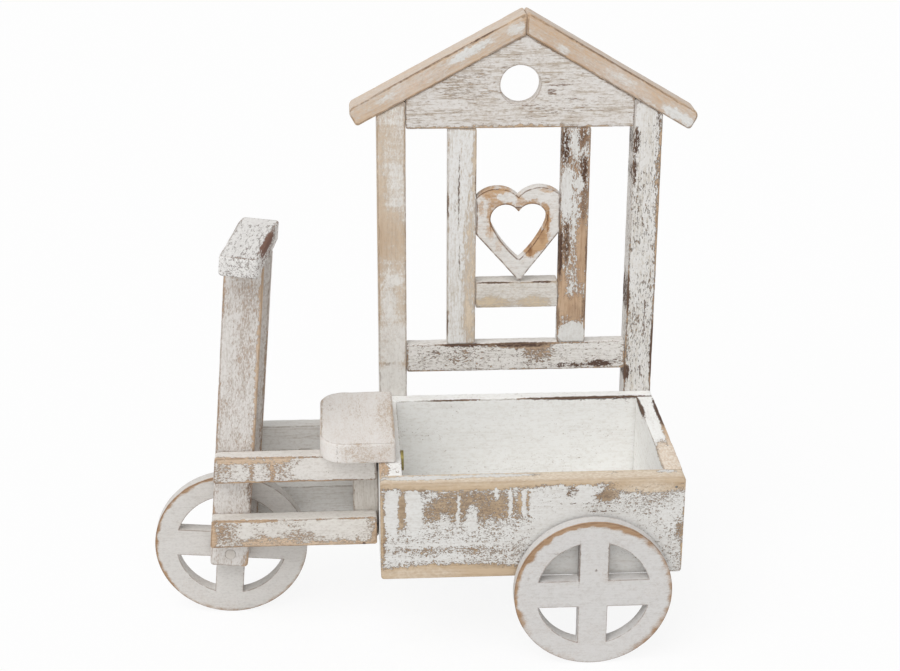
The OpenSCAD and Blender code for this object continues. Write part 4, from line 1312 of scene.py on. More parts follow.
@dataclass
class House:
    """The posts, rails, slats and gable of the house front, and its roof."""

    box_l: float = 230.0
    box_d: float = BOX_D
    post_w: float = 23.0
    post_t: float = 22.0
    post_foot_r: float = CORNER_R
    post_head_r: float = 1.5
    left_post_x: float = 3.8
    lap: float = 45.0
    rail_r: float = 1.6
    gable_z: float = 226.6
    gable_t: float = 12.0
    gable_r: float = 1.7
    gable_side_r: float = 1.0
    window_d: float = 31.0
    window_x: float = 116.4
    window_z: float = 261.2
    ridge_x: float = 120.6
    eave_z: float = 235.7
    pitch: float = 29.5
    lean: float = 1.1
    roof_t: float = 15.5
    roof_d: float = 25.0
    proud: float = 1.3
    left_eave: float = 17.7
    right_eave: float = 24.9
    eave_r: float = 5.5
    eave_low_r: float = 3.0
    crest_r: float = 1.9

    @property
    def ridge_z(self) -> float:
        """Height of the ridge's underside above the ground."""
        return BOX_TOP + self.eave_z + self.box_l / 2 * math.tan(math.radians(self.pitch))

    def slope(self, side: int) -> float:
        """Pitch of one side of the roof in radians: -1 is the left side, 1 the right one."""
        return math.radians(self.pitch + side * self.lean)

    def under(self, x: float) -> float:
        """Height of the roof's underside over a place along the box."""
        side = -1 if x < self.ridge_x else 1
        return self.ridge_z - abs(x - self.ridge_x) * math.tan(self.slope(side))

    def posts(self, shop: Workshop) -> None:
        """Builds the two posts, cut to the roof at their tops.

        Args:
            shop: builds the pieces and dresses them.
        """
        left = Whitewash(
            "whitewash_house_left_post", grain=Grain.ALONG_Z, length=1.8, cover=0.46, flakes=0.9, flecks=0.8,
            streaks=0.55, soft=0.3, thin=0.22, mottle=0.3, edge_width=1.4, edge_loss=0.2, fringe_share=0.15,
            light_wood=(207, 186, 162), dark_wood=(188, 164, 139), paint=(233, 230, 225), seed=30,
            spots=(
                Spot(15, 394, 22, 17, 0.09), Spot(19, 339, 7, 15, 0.2), Spot(19, 318, 8, 4, 0.25),
                Spot(14, 290, 15, 24, -0.25), Spot(7, 320, 4, 70, -0.2), Spot(17, 252, 9, 5.5, 0.4),
                Spot(13, 232, 6, 15, 0.25), Spot(15, 200, 15, 28, 0.28), Spot(15, 158, 22, 19, 0.9),
            ),
            stains=(Spot(4.2, 168, 1.8, 6, 0.6, y=166, ry=4), Spot(26.4, 172, 1.2, 5, 0.5, y=166, ry=4),
                    Spot(12, 179, 5, 2, 0.2)),
            washes=(Spot(16, 340, 16, 50, 0.45), Spot(18, 230, 14, 60, 0.4)))
        right = Whitewash(
            "whitewash_house_right_post", grain=Grain.ALONG_Z, length=2.6, cover=0.7, flakes=1.5,
            flecks=1.5, soft=0.08, thin=0.5, mottle=0.45, edge_width=1.6, edge_loss=0.35,
            fringe=(92, 84, 79), fringe_share=0.95, thin_paint=(194, 184, 168), paint=(229, 227, 224),
            seed=31,
            spots=(
                Spot(228.8, 325, 3.6, 62, -0.3), Spot(217, 300, 8, 40, -0.08), Spot(218, 385, 12, 12, 0.2),
                Spot(214, 262, 10, 12, 0.1), Spot(218, 360, 10, 18, 0.06),
            ),
            stains=(
                Spot(209.3, 365, 3.8, 14, 0.62), Spot(208.8, 340, 2.4, 13, 0.6),
                Spot(207.8, 236, 1.4, 20, 0.7), Spot(229.4, 182, 2.0, 24, 0.8), Spot(209, 167, 3.4, 8, 0.9),
                Spot(220, 168, 2.4, 7, 0.35), Spot(229.2, 206, 1.5, 11, 0.5), Spot(222, 215, 0.8, 24, 0.35),
                Spot(214, 296, 7, 40, 0.09), Spot(226, 385, 2, 10, 0.5), Spot(226, 230, 5, 60, 0.05),
            ))
        low = BOX_TOP - self.lap
        for node, x, finish in (
            ("house_left_post", self.left_post_x, left),
            ("house_right_post", self.box_l - self.post_w, right),
        ):
            far = x + self.post_w
            outline = [
                (x, low, self.post_foot_r), (far, low, self.post_foot_r),
                (far, self.under(far), self.post_head_r), (x, self.under(x), self.post_head_r),
            ]
            shop.board(node, [corner_loop(outline)], self.box_d, self.box_d + self.post_t, Plane.UPRIGHT,
                       finish, Wear(seed=finish.seed))

    def rails(self, shop: Workshop) -> None:
        """Builds the rails and slats between the posts.

        Args:
            shop: builds the pieces and dresses them.
        """
        face = self.box_d
        house_rail = Whitewash(
            "whitewash_house_rail", length=1.6, cover=0.7, flakes=1.45, flecks=1.45, soft=0.08, thin=0.35,
            mottle=0.45, edge_width=1.6, edge_loss=0.4, fringe=(104, 87, 76), fringe_share=0.9,
            paint=(233, 230, 226), seed=32,
            spots=(
                Spot(120, 193.5, 28, 3.6, -0.5, y=face, ry=4), Spot(134, 187, 14, 9, -0.24),
                Spot(70, 183, 13, 8, -0.17), Spot(46, 184, 14, 7, -0.07), Spot(182, 188, 30, 7, 0.06),
                Spot(116, 195.3, 110, 6, 0.6, y=173, ry=6),
            ),
            stains=(
                Spot(74, 194.4, 22, 2.0, 0.75, y=face, ry=3), Spot(120, 194, 30, 2.8, 0.55, y=face, ry=3),
                Spot(134, 187, 12, 7, 0.14), Spot(160, 175, 18, 2.6, 0.6), Spot(186, 176, 12, 3.4, 0.9),
                Spot(201, 178, 5, 3, 0.4), Spot(128, 178, 18, 3, 0.16), Spot(60, 186, 34, 8, 0.07),
                Spot(186, 188, 1.4, 6, 0.35), Spot(118, 186, 1.6, 7, 0.35), Spot(48, 187, 6, 4, 0.2),
            ))
        heart_rail = Whitewash(
            "whitewash_heart_rail", length=2.2, cover=0.72, flakes=0.9, flecks=1.1, soft=0.32, thin=0.4,
            mottle=0.5, edge_loss=0.3, paint=(226, 222, 216), fringe=(160, 142, 126), fringe_share=0.5,
            seed=33, light_wood=(212, 194, 166), dark_wood=(192, 172, 144),
            spots=(
                Spot(97, 231, 19, 6.4, -0.46), Spot(130, 231, 16, 6.4, -0.44), Spot(108, 243, 18, 5, -0.06),
                Spot(116, 248.9, 50, 5, 0.8, y=175, ry=8),
            ),
            stains=(Spot(98, 248.6, 15, 1.3, 0.9, y=face, ry=2.4),
                    Spot(137, 248.6, 9, 1.3, 0.85, y=face, ry=2.4)),
            washes=(Spot(114, 232, 38, 6, 0.25),))
        left_slat = Whitewash(
            "whitewash_left_slat", grain=Grain.ALONG_Z, length=4.0, cover=0.82, flakes=1.0, flecks=1.2,
            soft=0.22, thin=0.6, mottle=0.45, edge_loss=0.3, paint=(232, 231, 229), fringe=(168, 150, 132),
            fringe_share=0.6, light_wood=(214, 196, 172), dark_wood=(192, 170, 145),
            thin_paint=(196, 186, 172), seed=34,
            spots=(
                Spot(78, 262, 7, 66, -0.42), Spot(81.5, 345, 3, 36, -0.4), Spot(77, 212, 8, 20, -0.25),
                Spot(64, 350, 5, 40, 0.1),
            ),
            stains=(
                Spot(68.8, 328, 0.7, 36, 0.75), Spot(69.6, 268, 0.6, 24, 0.5), Spot(60, 213, 1.1, 14, 0.7),
                Spot(60, 314, 1, 13, 0.6), Spot(82.5, 334, 0.9, 13, 0.55), Spot(65.5, 314, 0.8, 8, 0.4),
            ),
            washes=(Spot(78, 280, 10, 110, 0.5),), stain=(112, 96, 86))
        right_slat = Whitewash(
            "whitewash_right_slat", grain=Grain.ALONG_Z, length=1.8, cover=0.5, flakes=1.45, flecks=1.5,
            soft=0.09, thin=0.25, mottle=0.35, edge_loss=0.3, light_wood=(202, 174, 146),
            dark_wood=(164, 130, 100), fringe=(136, 112, 94), stain=(84, 62, 50), seed=35,
            spots=(
                Spot(155, 322, 5.6, 26, 0.42), Spot(153, 362, 5, 17, 0.25), Spot(161, 364, 3.4, 14, 0.3),
                Spot(159, 284, 3, 22, 0.1), Spot(161, 243, 1.6, 14, 0.22), Spot(162.5, 199, 11.5, 14, 1.5),
                Spot(169, 275, 5, 36, -0.5), Spot(164, 226, 12, 13, -0.5), Spot(165, 331, 5, 6, 0.35),
                Spot(168, 357, 4, 8, 0.12), Spot(153, 235, 4, 26, -0.4), Spot(162, 300, 1.4, 24, 0.35),
            ),
            stains=(
                Spot(152.8, 362, 5, 17, 0.6), Spot(168.5, 345, 3.8, 13, 0.5), Spot(167, 368, 6, 10, 0.32),
                Spot(151.2, 274, 2.0, 26, 0.7), Spot(156, 280, 3.4, 20, 0.42), Spot(169.5, 318, 3, 26, 0.3),
                Spot(171.8, 225, 2, 13, 0.36), Spot(151, 216, 1.6, 11, 0.3), Spot(172.6, 272, 1.2, 20, 0.35),
                Spot(165, 222, 6, 8, 0.1), Spot(156, 300, 5, 8, 0.2), Spot(160, 350, 8, 8, 0.12),
            ))
        for node, finish in (
            ("house_rail", house_rail), ("heart_rail", heart_rail), ("left_slat", left_slat),
            ("right_slat", right_slat),
        ):
            shop.plain(node, Plane.UPRIGHT, finish, Wear(edge=0.6, chip=0.8, most=1.5, seed=finish.seed),
                       corner=self.rail_r)

    def gable(self, shop: Workshop) -> None:
        """Builds the gable board with its round window.

        Args:
            shop: builds the pieces and dresses them.
        """
        x0, x1 = self.left_post_x + self.post_w, self.box_l - self.post_w
        low = BOX_TOP + self.gable_z
        outline = [
            (x0, low, self.gable_r), (x1, low, self.gable_r), (x1, self.under(x1), self.gable_side_r),
            (self.ridge_x, self.ridge_z, self.gable_r), (x0, self.under(x0), self.gable_side_r),
        ]
        window = circle_loop(self.window_x, BOX_TOP + self.window_z, self.window_d / 2)
        finish = Whitewash(
            "whitewash_gable_board", length=4.4, cover=0.79, flakes=1.2, flecks=1.5, soft=0.15, thin=0.9,
            mottle=0.55, edge_width=1.4, edge_loss=0.3, paint=(226, 222, 218), thin_paint=(184, 170, 154),
            fringe=(140, 124, 110), seed=36,
            spots=(
                Spot(115, 377.2, 110, 3.2, -0.5), Spot(78, 410, 30, 16, -0.12), Spot(141, 406.5, 5, 3, -0.2),
                # The spots at (195, 400) and (120, 442) take paint off just under the right roof board and
                # the ridge: painted shade from the roof.
                Spot(195, 400, 22, 14, -0.03), Spot(120, 442, 34, 12, -0.1),
            ),
            stains=(
                Spot(141, 406.5, 4.6, 2.6, 0.4), Spot(150, 411.5, 15, 0.8, 0.4),
                Spot(146, 416, 12, 0.7, 0.35), Spot(154, 400, 16, 0.7, 0.3),
                Spot(126, 395.5, 10, 0.7, 0.35), Spot(150, 396, 24, 20, 0.1), Spot(105, 425, 5, 4, 0.25),
                Spot(166, 391, 14, 0.7, 0.3), Spot(140, 390, 10, 0.7, 0.25),
            ),
            washes=(Spot(80, 408, 40, 22, 0.5),), stain=(122, 100, 88))
        shop.board("gable_board", [corner_loop(outline), window], self.box_d, self.box_d + self.gable_t,
                   Plane.UPRIGHT, finish, Wear(edge=0.6, chip=1.2, most=1.5, seed=36))

    def roof(self, shop: Workshop) -> None:
        """Builds the two roof boards, which meet in a plumb joint at the ridge.

        Args:
            shop: builds the pieces and dresses them.
        """
        soft = Whitewash(
            "whitewash_left_roof_board", length=2.4, cover=0.36, flakes=0.8, flecks=0.7, soft=0.4, thin=0.25,
            edge_width=1.6, edge_loss=0.3, edge_line=0.6, fringe_share=0.15, light_wood=(216, 191, 164),
            dark_wood=(196, 165, 135), wash=(232, 216, 204), seed=37)
        top, middle, edge = self.roof_t, 178.0, 165.2
        left = replace(
            soft,
            spots=(
                Spot(-45, 10, 22, 3.6, 0.6), Spot(-5, 8, 9, 5, 0.35), Spot(-119, 9, 10, 3, 0.22),
                Spot(-75, top, 110, 5, 0.04, y=middle, ry=13),
            ),
            stains=(Spot(-76, top, 60, 1.3, 0.35, y=edge, ry=1.6),
                    Spot(-30, top, 14, 1.3, 0.4, y=edge, ry=1.6)),
            washes=(Spot(-95, 8, 34, 6, 0.5), Spot(-75, top, 110, 5, 0.35, y=middle, ry=13)))
        right = replace(
            soft, name="whitewash_right_roof_board", seed=38, light_wood=(208, 181, 153),
            spots=(
                Spot(30, 3.5, 7, 4, 0.35), Spot(84, 8, 16, 3, 0.16), Spot(138, 5.5, 18, 4, 0.55),
                Spot(112, 2.5, 9, 2.4, 0.2), Spot(75, top, 110, 5, 0.06, y=middle, ry=13),
            ),
            stains=(Spot(70, top, 70, 1.3, 0.35, y=edge, ry=1.6), Spot(152, 7, 1.5, 8, 0.2)),
            washes=(Spot(85, 7, 30, 6, 0.4), Spot(140, 6, 20, 6, 0.4),
                    Spot(75, top, 110, 5, 0.35, y=middle, ry=13)))
        for node, side, over, finish in (
            ("left_roof_board", -1, self.left_eave, left), ("right_roof_board", 1, self.right_eave, right),
        ):
            slope = self.slope(side)
            end = self.left_post_x if side < 0 else self.box_l
            length = side * (abs(self.ridge_x - end) / math.cos(slope) + over)
            plumb = side * self.roof_t * -math.tan(slope)
            outline = [(0, 0, self.crest_r), (length, 0, self.eave_low_r), (length, self.roof_t, self.eave_r),
                       (plumb, self.roof_t, self.crest_r)]
            own = Matrix.Translation((self.ridge_x, 0, self.ridge_z)) @ Matrix.Rotation(side * slope, 4, "Y")
            near = self.box_d - self.proud
            shop.board(node, [corner_loop(outline if side > 0 else outline[::-1])], near, near + self.roof_d,
                       Plane.UPRIGHT, finish, Wear(edge=1.0, chip=1.1, most=1.7, seed=finish.seed), own=own)

    def build(self, shop: Workshop) -> None:
        """Builds the posts, rails, slats, gable and roof of the house front.

        Args:
            shop: builds the pieces and dresses them.
        """
        self.posts(shop)
        self.rails(shop)
        self.gable(shop)
        self.roof(shop)


def polygon_area(points: np.ndarray) -> float:
    """Signed area of a closed outline: positive when it runs anticlockwise."""
    after = np.roll(points, -1, 0)
    return float(np.sum(points[:, 0] * after[:, 1] - points[:, 1] * after[:, 0]) / 2)


@dataclass
class Heart:
    """The heart between the slats, with its heart-shaped opening."""

    box_d: float = BOX_D
    depth: float = 10.0
    tip_x: float = 118.15
    tip_z: float = 98.1
    gap_low: float = 82.8
    gap_high: float = 150.1
    turn: float = 1.2
    outer_r: float = 23.4
    outer_x: float = 17.0
    outer_z: float = 56.3
    inner_r: float = 11.8
    inner_x: float = 10.7
    inner_z: float = 53.7
    inner_tip: float = 19.3
    side_r: float = 90.0
    tip_r: float = 2.0
    cusp_r: float = 0.9

    @staticmethod
    def arc(middle: Sequence[float], radius: float, start: float, end: float,
            step: float = 2.0) -> list[tuple[float, float]]:
        """Points of an arc between two angles, both ends included.

        Args:
            middle: its middle.
            radius: its radius.
            start, end: its first and last angle, in radians.
            step: length of its pieces.

        Returns:
            The points.
        """
        pieces = max(3, round(abs(end - start) * radius / step))
        angles = [start + (end - start) * k / pieces for k in range(pieces + 1)]
        return [(middle[0] + radius * math.cos(a), middle[1] + radius * math.sin(a)) for a in angles]

    def half_outside(self) -> list[tuple[float, float]]:
        """Right half of the outside, from the tip up to the cleft.

        Returns:
            Its points, from the heart's tip.
        """
        away = math.hypot(self.outer_x, self.outer_z)
        side = math.atan2(self.outer_z, self.outer_x) - math.asin(self.outer_r / away)
        start = side - math.pi / 2
        cleft = math.pi - math.acos(self.outer_x / self.outer_r)
        return [(0.0, 0.0), *self.arc((self.outer_x, self.outer_z), self.outer_r, start, cleft)]

    def half_opening(self) -> list[tuple[float, float]]:
        """Right half of the opening, from its tip up to its cusp.

        Returns:
            Its points, from the heart's tip.
        """
        lobe, tip = np.array([self.inner_x, self.inner_z]), np.array([0.0, self.inner_tip])
        away = float(np.linalg.norm(lobe - tip))
        between = self.side_r - self.inner_r
        tip_angle = math.acos((away**2 + self.side_r**2 - between**2) / (2 * away * self.side_r))
        angle = math.atan2(lobe[1] - tip[1], lobe[0]) + tip_angle
        middle = tip + self.side_r * np.array([math.cos(angle), math.sin(angle)])
        out = lobe - middle
        touch = math.atan2(out[1], out[0])
        from_tip = math.atan2(tip[1] - middle[1], tip[0] - middle[0])
        cusp = math.pi - math.acos(self.inner_x / self.inner_r)
        side = self.arc(middle, self.side_r, from_tip, touch, 3.0)
        return side[:-1] + self.arc(lobe, self.inner_r, touch, cusp, 2.6)

    def loop(self, half: list[tuple[float, float]], hole: bool, tip_r: float, top_r: float) -> Loop:
        """Mirrors a half outline, turns and places it, and makes a loop of it.

        Args:
            half: the right half, from the tip up.
            hole: True for the opening, False for the outside, which is cut to the gap it stands in.
            tip_r, top_r: rounding of the tip, and of the cleft or cusp above it.

        Returns:
            The loop.
        """
        left = [(-x, z) for x, z in reversed(half[1:-1])]
        c, s = math.cos(math.radians(self.turn)), math.sin(math.radians(self.turn))
        corners = []
        for i, (x, z) in enumerate(half + left):
            px, pz = self.tip_x + c * x - s * z, BOX_TOP + self.tip_z + s * x + c * z
            radius = tip_r if i == 0 else top_r if i == len(half) - 1 else 0.0
            corners.append((px if hole else min(max(px, self.gap_low), self.gap_high), pz, radius))
        if hole:
            corners = corners[::-1]
        return corner_loop(corners, step=2.2)

    def build(self, shop: Workshop) -> None:
        """Builds the heart.

        Args:
            shop: builds the pieces and dresses them.
        """
        loops = [self.loop(self.half_outside(), False, self.tip_r, 0.0),
                 self.loop(self.half_opening(), True, 0.0, self.cusp_r)]
        finish = Whitewash(
            "whitewash_heart", length=1.6, cover=0.8, flakes=0.5, flecks=0.7, soft=0.36, thin=0.35,
            edge_width=1.6, edge_loss=0.15, edge_line=0.85, line=(104, 76, 56), fringe_share=0.0,
            light_wood=(202, 168, 132), dark_wood=(170, 130, 94), stain=(142, 100, 66),
            paint=(230, 227, 223), seed=40,
            spots=(
                Spot(94, 306, 4.5, 9, -0.5), Spot(98, 316, 7, 4.5, -0.5), Spot(108, 312, 7, 4.5, -0.55),
                Spot(117, 308, 5, 6, -0.5), Spot(127, 315, 8, 4, -0.5), Spot(138, 310, 3.6, 8, -0.55),
                Spot(140, 298, 3.6, 10, -0.6), Spot(134, 284, 8, 10, -1.0), Spot(127, 274, 6, 5, -0.8),
                Spot(94, 292, 4, 8, -0.35), Spot(101, 280, 3, 8, -0.2), Spot(92, 324, 9, 6, -0.55),
                Spot(104, 326, 8, 3, -0.5), Spot(87, 312, 3, 8, -0.4), Spot(118, 318, 4, 5, -0.4),
                Spot(101, 321, 3, 4, 0.3), Spot(140, 326, 9, 2.6, -0.42),
            ),
            stains=(
                Spot(127, 275, 2.0, 6, 0.45), Spot(136, 287, 3, 7, 0.2), Spot(140.6, 300, 1.0, 12, 0.45),
                Spot(117, 307.5, 4, 1.2, 0.6), Spot(94.5, 300, 1, 10, 0.4), Spot(110, 330, 16, 1.4, 0.3),
            ))
        shop.board("heart", loops, self.box_d, self.box_d + self.depth, Plane.UPRIGHT, finish,
                   Wear(edge=0.8, chip=0.5, most=1.1, seed=40))


@dataclass
class Wheels:
    """The three wheels, each cut from one board with four openings."""

    radius: float = 60.5
    thickness: float = 11.0
    rim_w: float = 17.0
    spoke_w: float = 22.5
    spokes: int = 4
    rim_pieces: int = 150
    piece: float = 2.6
    rear_x: float = 161.0
    front_x: float = -FRONT_REACH
    front_turn: float = 4.6
    bore_r: float = AXLE_D / 2 + 0.1
    frame_y: float = FRAME_Y
    box_d: float = BOX_D
    gap: float = 1.7
    tree_name: str = "wheel_outline"

    def rim_spots(self, face: float, arcs: Iterable[tuple[float, float, float]],
                  deep: float = 2.6) -> tuple[Spot, ...]:
        """Spots in rows along the rim's edge at one face.

        Args:
            face: where that face is along y.
            arcs: the first and last angle of each row in degrees, and the amount of its spots.
            deep: how far the spots reach from the face.

        Returns:
            The spots, one every ten degrees.
        """
        away = self.radius - 2
        return tuple(Spot(away * math.cos(a), away * math.sin(a), 8.5, 8.5, amount, y=face, ry=deep)
                     for start, end, amount in arcs for a in np.radians(np.arange(start, end, 10.0)))

    def outline_tree(self) -> bpy.types.GeometryNodeTree:
        """Builds the tree that draws a wheel's outline: a rim and one opening placed four times.

        Returns:
            The tree, with the sizes as named inputs.
        """
        tree = bpy.data.node_groups.new(self.tree_name, "GeometryNodeTree")
        face = tree.interface
        face.new_socket("Geometry", in_out="INPUT", socket_type="NodeSocketGeometry")
        for label in ("Radius", "Rim Width", "Spoke Width", "Piece Length"):
            face.new_socket(label, in_out="INPUT", socket_type=FLOAT)
        face.new_socket("Material", in_out="INPUT", socket_type="NodeSocketMaterial")
        face.new_socket("Geometry", in_out="OUTPUT", socket_type="NodeSocketGeometry")
        g = Graph(tree)
        into, out = g.node("NodeGroupInput").outputs, g.node("NodeGroupOutput")
        inner = g.math("SUBTRACT", into["Radius"], into["Rim Width"])
        half = g.math("MULTIPLY", into["Spoke Width"], 0.5)
        start = g.math("ARCSINE", g.math("DIVIDE", half, inner))
        sweep = g.math("SUBTRACT", math.pi / 2, g.math("MULTIPLY", start, 2.0))
        arc = g.node("GeometryNodeCurveArc", {"Radius": inner, "Start Angle": start, "Sweep Angle": sweep},
                     mode="RADIUS")
        hub = g.combine(half, half)
        join = g.node("GeometryNodeJoinGeometry", {0: arc.outputs[0]})
        away = g.math("MULTIPLY", inner, g.math("COSINE", start))
        for x, z in ((away, half), (half, away)):
            line = g.node("GeometryNodeCurvePrimitiveLine", {"Start": hub, "End": g.combine(x, z)})
            g.put(join.inputs[0], line.outputs[0])
        pieces = g.node("GeometryNodeResampleCurve",
                        {"Curve": join.outputs[0], "Length": into["Piece Length"]}, mode="LENGTH")
        opening = g.node("GeometryNodeCurveToMesh", {"Curve": pieces.outputs[0]})
        turns = g.node("GeometryNodeMeshLine", {"Count": self.spokes, "Offset": (0.0, 0.0, 0.0)})
        turn = g.math("MULTIPLY", g.node("GeometryNodeInputIndex").outputs[0], math.pi / 2)
        placed = g.node("GeometryNodeInstanceOnPoints", {
            "Points": turns.outputs[0], "Instance": opening.outputs[0],
            "Rotation": g.combine(0.0, 0.0, turn)})
        rim = g.node("GeometryNodeCurvePrimitiveCircle",
                     {"Resolution": self.rim_pieces, "Radius": into["Radius"]}, mode="RADIUS")
        rim_line = g.node("GeometryNodeCurveToMesh", {"Curve": rim.outputs[0]})
        both = g.node("GeometryNodeJoinGeometry", {0: placed.outputs[0]})
        g.put(both.inputs[0], rim_line.outputs[0])
        real = g.node("GeometryNodeRealizeInstances", {0: both.outputs[0]})
        merged = g.node("GeometryNodeMergeByDistance", {"Geometry": real.outputs[0], "Distance": MERGE})
        coat = g.node("GeometryNodeSetMaterial",
                      {"Geometry": merged.outputs[0], "Material": into["Material"]})
        g.put(out.inputs[0], coat.outputs[0])
        return tree

    def drawn_lines(self, tree: bpy.types.GeometryNodeTree) -> list[np.ndarray]:
        """Runs the tree and follows each closed line that it draws.

        Args:
            tree: the tree from outline_tree.

        Returns:
            The places along each line, in millimetres.
        """
        carrier = add_object(self.tree_name, bpy.data.meshes.new(self.tree_name))
        modifier = carrier.modifiers.new(self.tree_name, "NODES")
        modifier.node_group = tree
        sizes = {"Radius": self.radius, "Rim Width": self.rim_w, "Spoke Width": self.spoke_w,
                 "Piece Length": self.piece}
        for socket in tree.interface.items_tree:
            if getattr(socket, "in_out", "") == "INPUT" and socket.name in sizes:
                modifier[socket.identifier] = sizes[socket.name] * MM
        shaped = carrier.evaluated_get(bpy.context.evaluated_depsgraph_get())
        drawn = bpy.data.meshes.new_from_object(shaped)
        places = np.array([v.co[:2] for v in drawn.vertices]) / MM
        links: dict[int, list[int]] = {}
        for a, b in (e.vertices for e in drawn.edges):
            links.setdefault(a, []).append(b)
            links.setdefault(b, []).append(a)
        bpy.data.objects.remove(carrier)
        lines, seen = [], set()
        for first in range(len(places)):
            chain, ahead = [], [] if first in seen else [first]
            while ahead:
                chain.append(ahead[0])
                seen.add(ahead[0])
                ahead = [n for n in links[chain[-1]] if n not in seen]
            if chain:
                lines.append(places[chain])
        return lines

    def outline(self, tree: bpy.types.GeometryNodeTree, turn: float) -> list[Loop]:
        """Makes the loops of a wheel from the lines that the tree draws.

        Args:
            tree: the tree from outline_tree.
            turn: clockwise turn of the wheel in degrees.

        Returns:
            The outside of the rim first, then the four openings.
        """
        angle = math.radians(-turn)
        spin = np.array([[math.cos(angle), -math.sin(angle)], [math.sin(angle), math.cos(angle)]])
        loops = []
        for line in self.drawn_lines(tree):
            line = line @ spin.T
            outside = np.linalg.norm(line, axis=1).min() > self.radius - 1
            if (polygon_area(line) > 0) != outside:
                line = line[::-1]
            loops.append((not outside, corner_loop([(x, z, 0.0) for x, z in line], step=FAR)))
        return [loop for _, loop in sorted(loops, key=lambda row: row[0])]

    def build(self, shop: Workshop) -> None:
        """Builds the three wheels.

        Args:
            shop: builds the pieces and dresses them.
        """
        tree = self.outline_tree()
        near = -self.gap - self.thickness
        middle = self.frame_y - self.thickness / 2
        rear = Whitewash(
            "whitewash_near_rear_wheel", length=1.6, cover=0.9, flakes=0.25, flecks=0.9, soft=0.42,
            thin=0.25, mottle=0.4, edge_width=5.6, edge_loss=0.1, edge_line=0.7, paint=(213, 211, 209),
            thin_paint=(186, 181, 176), light_wood=(176, 146, 117), dark_wood=(145, 112, 83),
            fringe=(150, 112, 80), fringe_share=0.0, stain=(96, 76, 64), line=(122, 98, 80), seed=50,
            edge_spots=self.rim_spots(
                near, ((62, 160, 1.0), (160, 210, 0.6), (-50, 62, 0.34), (210, 310, 0.1))),
            stains=(
                Spot(-11.2, 26, 0.8, 22, 0.9), Spot(10.9, 29, 0.6, 17, 0.7), Spot(-28, 35, 8, 1.2, 0.35),
                Spot(-5, 31, 3.4, 5, 0.25), Spot(1.5, 20, 1.3, 1.7, 0.8), Spot(-50, 14, 1.6, 1.8, 0.4),
            ))
        front = replace(
            rear, name="whitewash_front_wheel", paint=(216, 213, 209), stains=(), seed=52, edge_width=3.4,
            edge_spots=self.rim_spots(middle, ((90, 215, 0.62), (215, 350, 0.26)), 5.0))
        far_face = self.box_d + self.gap + self.thickness
        far = replace(
            rear, name="whitewash_far_rear_wheel", stains=(), seed=51,
            edge_spots=self.rim_spots(far_face, ((40, 170, 0.7), (170, 400, 0.4))))
        for node, body, x, y, turn, finish in (
            ("near_rear_wheel", Body.REAR, self.rear_x, near, 0.0, rear),
            ("far_rear_wheel", Body.REAR, self.rear_x, self.box_d + self.gap, 0.0, far),
            ("front_wheel", Body.FRONT, self.front_x, middle, self.front_turn, front),
        ):
            loops = self.outline(tree, turn)
            if body is Body.FRONT:
                loops.append(circle_loop(0, 0, self.bore_r, step=1.0))
            shop.board(node, loops, y, y + self.thickness, Plane.UPRIGHT, finish,
                       Wear(edge=0.22, chip=0.15, most=0.4, seed=finish.seed), body,
                       Matrix.Translation((x, 0, AXLE_Z)))


class Fasteners:
    """Finishes of the dowels, brads, pins, nuts and frame bolts, which keep their CAD shapes."""

    @staticmethod
    def build(shop: Workshop) -> None:
        """Gives each its finish.

        Args:
            shop: holds the shader groups that the finishes share.
        """
        painted = Whitewash(
            "painted_dowel", grain=Grain.ALONG_Y, cover=1.2, flakes=0.8, edge_loss=0.0, edge_line=0.0,
            paint=(214, 208, 201), seed=60)
        dowel = painted.material(shop.effects)
        steel = Metal("wire_steel", (150, 150, 150), (120, 118, 114)).material()
        brass = Metal("brass", (186, 156, 92), (150, 122, 70)).material()
        zinc = Metal("yellow_zinc", (176, 164, 104), (140, 128, 80)).material()
        finishes = {"front_axle": dowel, "rear_axle": dowel, "insert_nuts": brass, "frame_bolts": zinc}
        for node, thing in frame["nodes"].items():
            if thing.hide_render:
                continue
            for place in thing.material_slots:
                place.material = finishes.get(node, steel)
            log.info("%s keeps its CAD shape, in %s", node, finishes.get(node, steel).name)


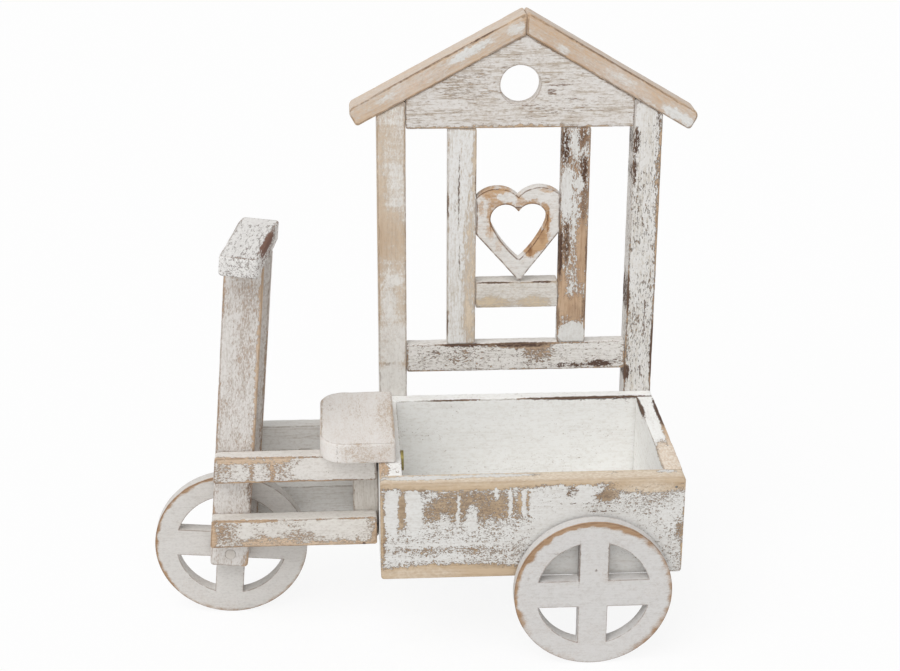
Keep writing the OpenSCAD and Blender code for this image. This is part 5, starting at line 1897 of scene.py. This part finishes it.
@dataclass
class Studio:
    """The pale floor, the light and the camera."""

    lens: float = 73.384
    sensor: float = 36.0
    clip: tuple[float, float] = (0.05, 50.0)
    azimuth: float = -3.618
    elevation: float = 21.631
    roll: float = 0.222
    eye: tuple[float, float, float] = (-65.59, -1316.69, 757.11)
    sky: float = 0.52
    floor_half: float = 6.0
    floor_tone: float = 0.92
    floor_glow: float = 0.88

    def floor(self) -> None:
        """Lays a pale floor that keeps the shadow and looks white to the camera."""
        made, g = new_material("pale_floor")
        matte = g.node("ShaderNodeBsdfDiffuse", {"Color": (*(self.floor_tone,) * 3, 1)})
        glow = g.node("ShaderNodeEmission", {"Color": (1, 1, 1, 1)})
        path = g.node("ShaderNodeLightPath")
        share = g.math("MULTIPLY", path.outputs["Is Camera Ray"], self.floor_glow)
        g.surface(g.node("ShaderNodeMixShader", {0: share, 1: matte.outputs[0], 2: glow.outputs[0]}))
        mesh = bpy.data.meshes.new("studio_floor")
        half = self.floor_half
        mesh.from_pydata([(-half, -half, 0), (half, -half, 0), (half, half, 0), (-half, half, 0)], [],
                         [(0, 1, 2, 3)])
        mesh.materials.append(made)
        add_object("studio_floor", mesh)

    def light(self) -> None:
        """Sets the world and the lamps."""
        world = bpy.data.worlds.new("studio")
        bpy.context.scene.world = world
        world.use_nodes = True
        world.node_tree.nodes.clear()
        g = Graph(world.node_tree)
        path = g.node("ShaderNodeLightPath")
        seen = g.math("MAXIMUM", path.outputs["Is Camera Ray"], path.outputs["Is Glossy Ray"])
        seen = g.math("MAXIMUM", seen, path.outputs["Is Transmission Ray"])
        strength = g.math("ADD", g.math("MULTIPLY", seen, 1 - self.sky), self.sky)
        back = g.node("ShaderNodeBackground", {"Color": (1, 1, 1, 1), "Strength": strength})
        g.node("ShaderNodeOutputWorld", {"Surface": back.outputs[0]})
        for name, towards, strength, spread in (
            ("key_lamp", (0.4, 0.5, -1.0), 1.55, 50), ("fill_lamp", (0.1, 1.0, -0.35), 0.28, 70),
        ):
            lamp = bpy.data.lights.new(name, "SUN")
            lamp.energy = strength
            lamp.angle = math.radians(spread)
            thing = bpy.data.objects.new(name, lamp)
            thing.rotation_euler = Vector(towards).to_track_quat("-Z", "Y").to_euler()
            bpy.context.scene.collection.objects.link(thing)

    def camera(self) -> None:
        """Sets the camera where the photograph was taken from."""
        a, e, r = (math.radians(v) for v in (self.azimuth, self.elevation, self.roll))
        ahead = Vector((-math.sin(a) * math.cos(e), math.cos(a) * math.cos(e), -math.sin(e)))
        right = Vector((math.cos(a), math.sin(a), 0.0))
        up = right.cross(ahead)
        right, up = right * math.cos(r) + up * math.sin(r), up * math.cos(r) - right * math.sin(r)
        lens = bpy.data.cameras.new("camera")
        lens.lens, lens.sensor_width, lens.sensor_fit = self.lens, self.sensor, "HORIZONTAL"
        lens.clip_start, lens.clip_end = self.clip
        thing = bpy.data.objects.new("camera", lens)
        turn = Matrix((right, up, -ahead)).transposed().to_4x4()
        thing.matrix_world = Matrix.Translation(Vector(self.eye) * MM) @ turn
        bpy.context.scene.collection.objects.link(thing)
        bpy.context.scene.camera = thing

    def build(self) -> None:
        """Sets up the studio."""
        self.floor()
        self.light()
        self.camera()
        bpy.context.scene.view_settings.view_transform = "Standard"


def main() -> None:
    """Builds and dresses every piece, then sets up the studio."""
    logging.basicConfig(level=logging.INFO, format="%(message)s")
    shop = Workshop(Effects())
    front_frame = FrontFrame()
    for part in (PlanterBox(), front_frame, Fork(front_frame), House(), Heart(), Wheels(), Fasteners()):
        part.build(shop)
    Studio().build()


if __name__ == "__main__":
    main()
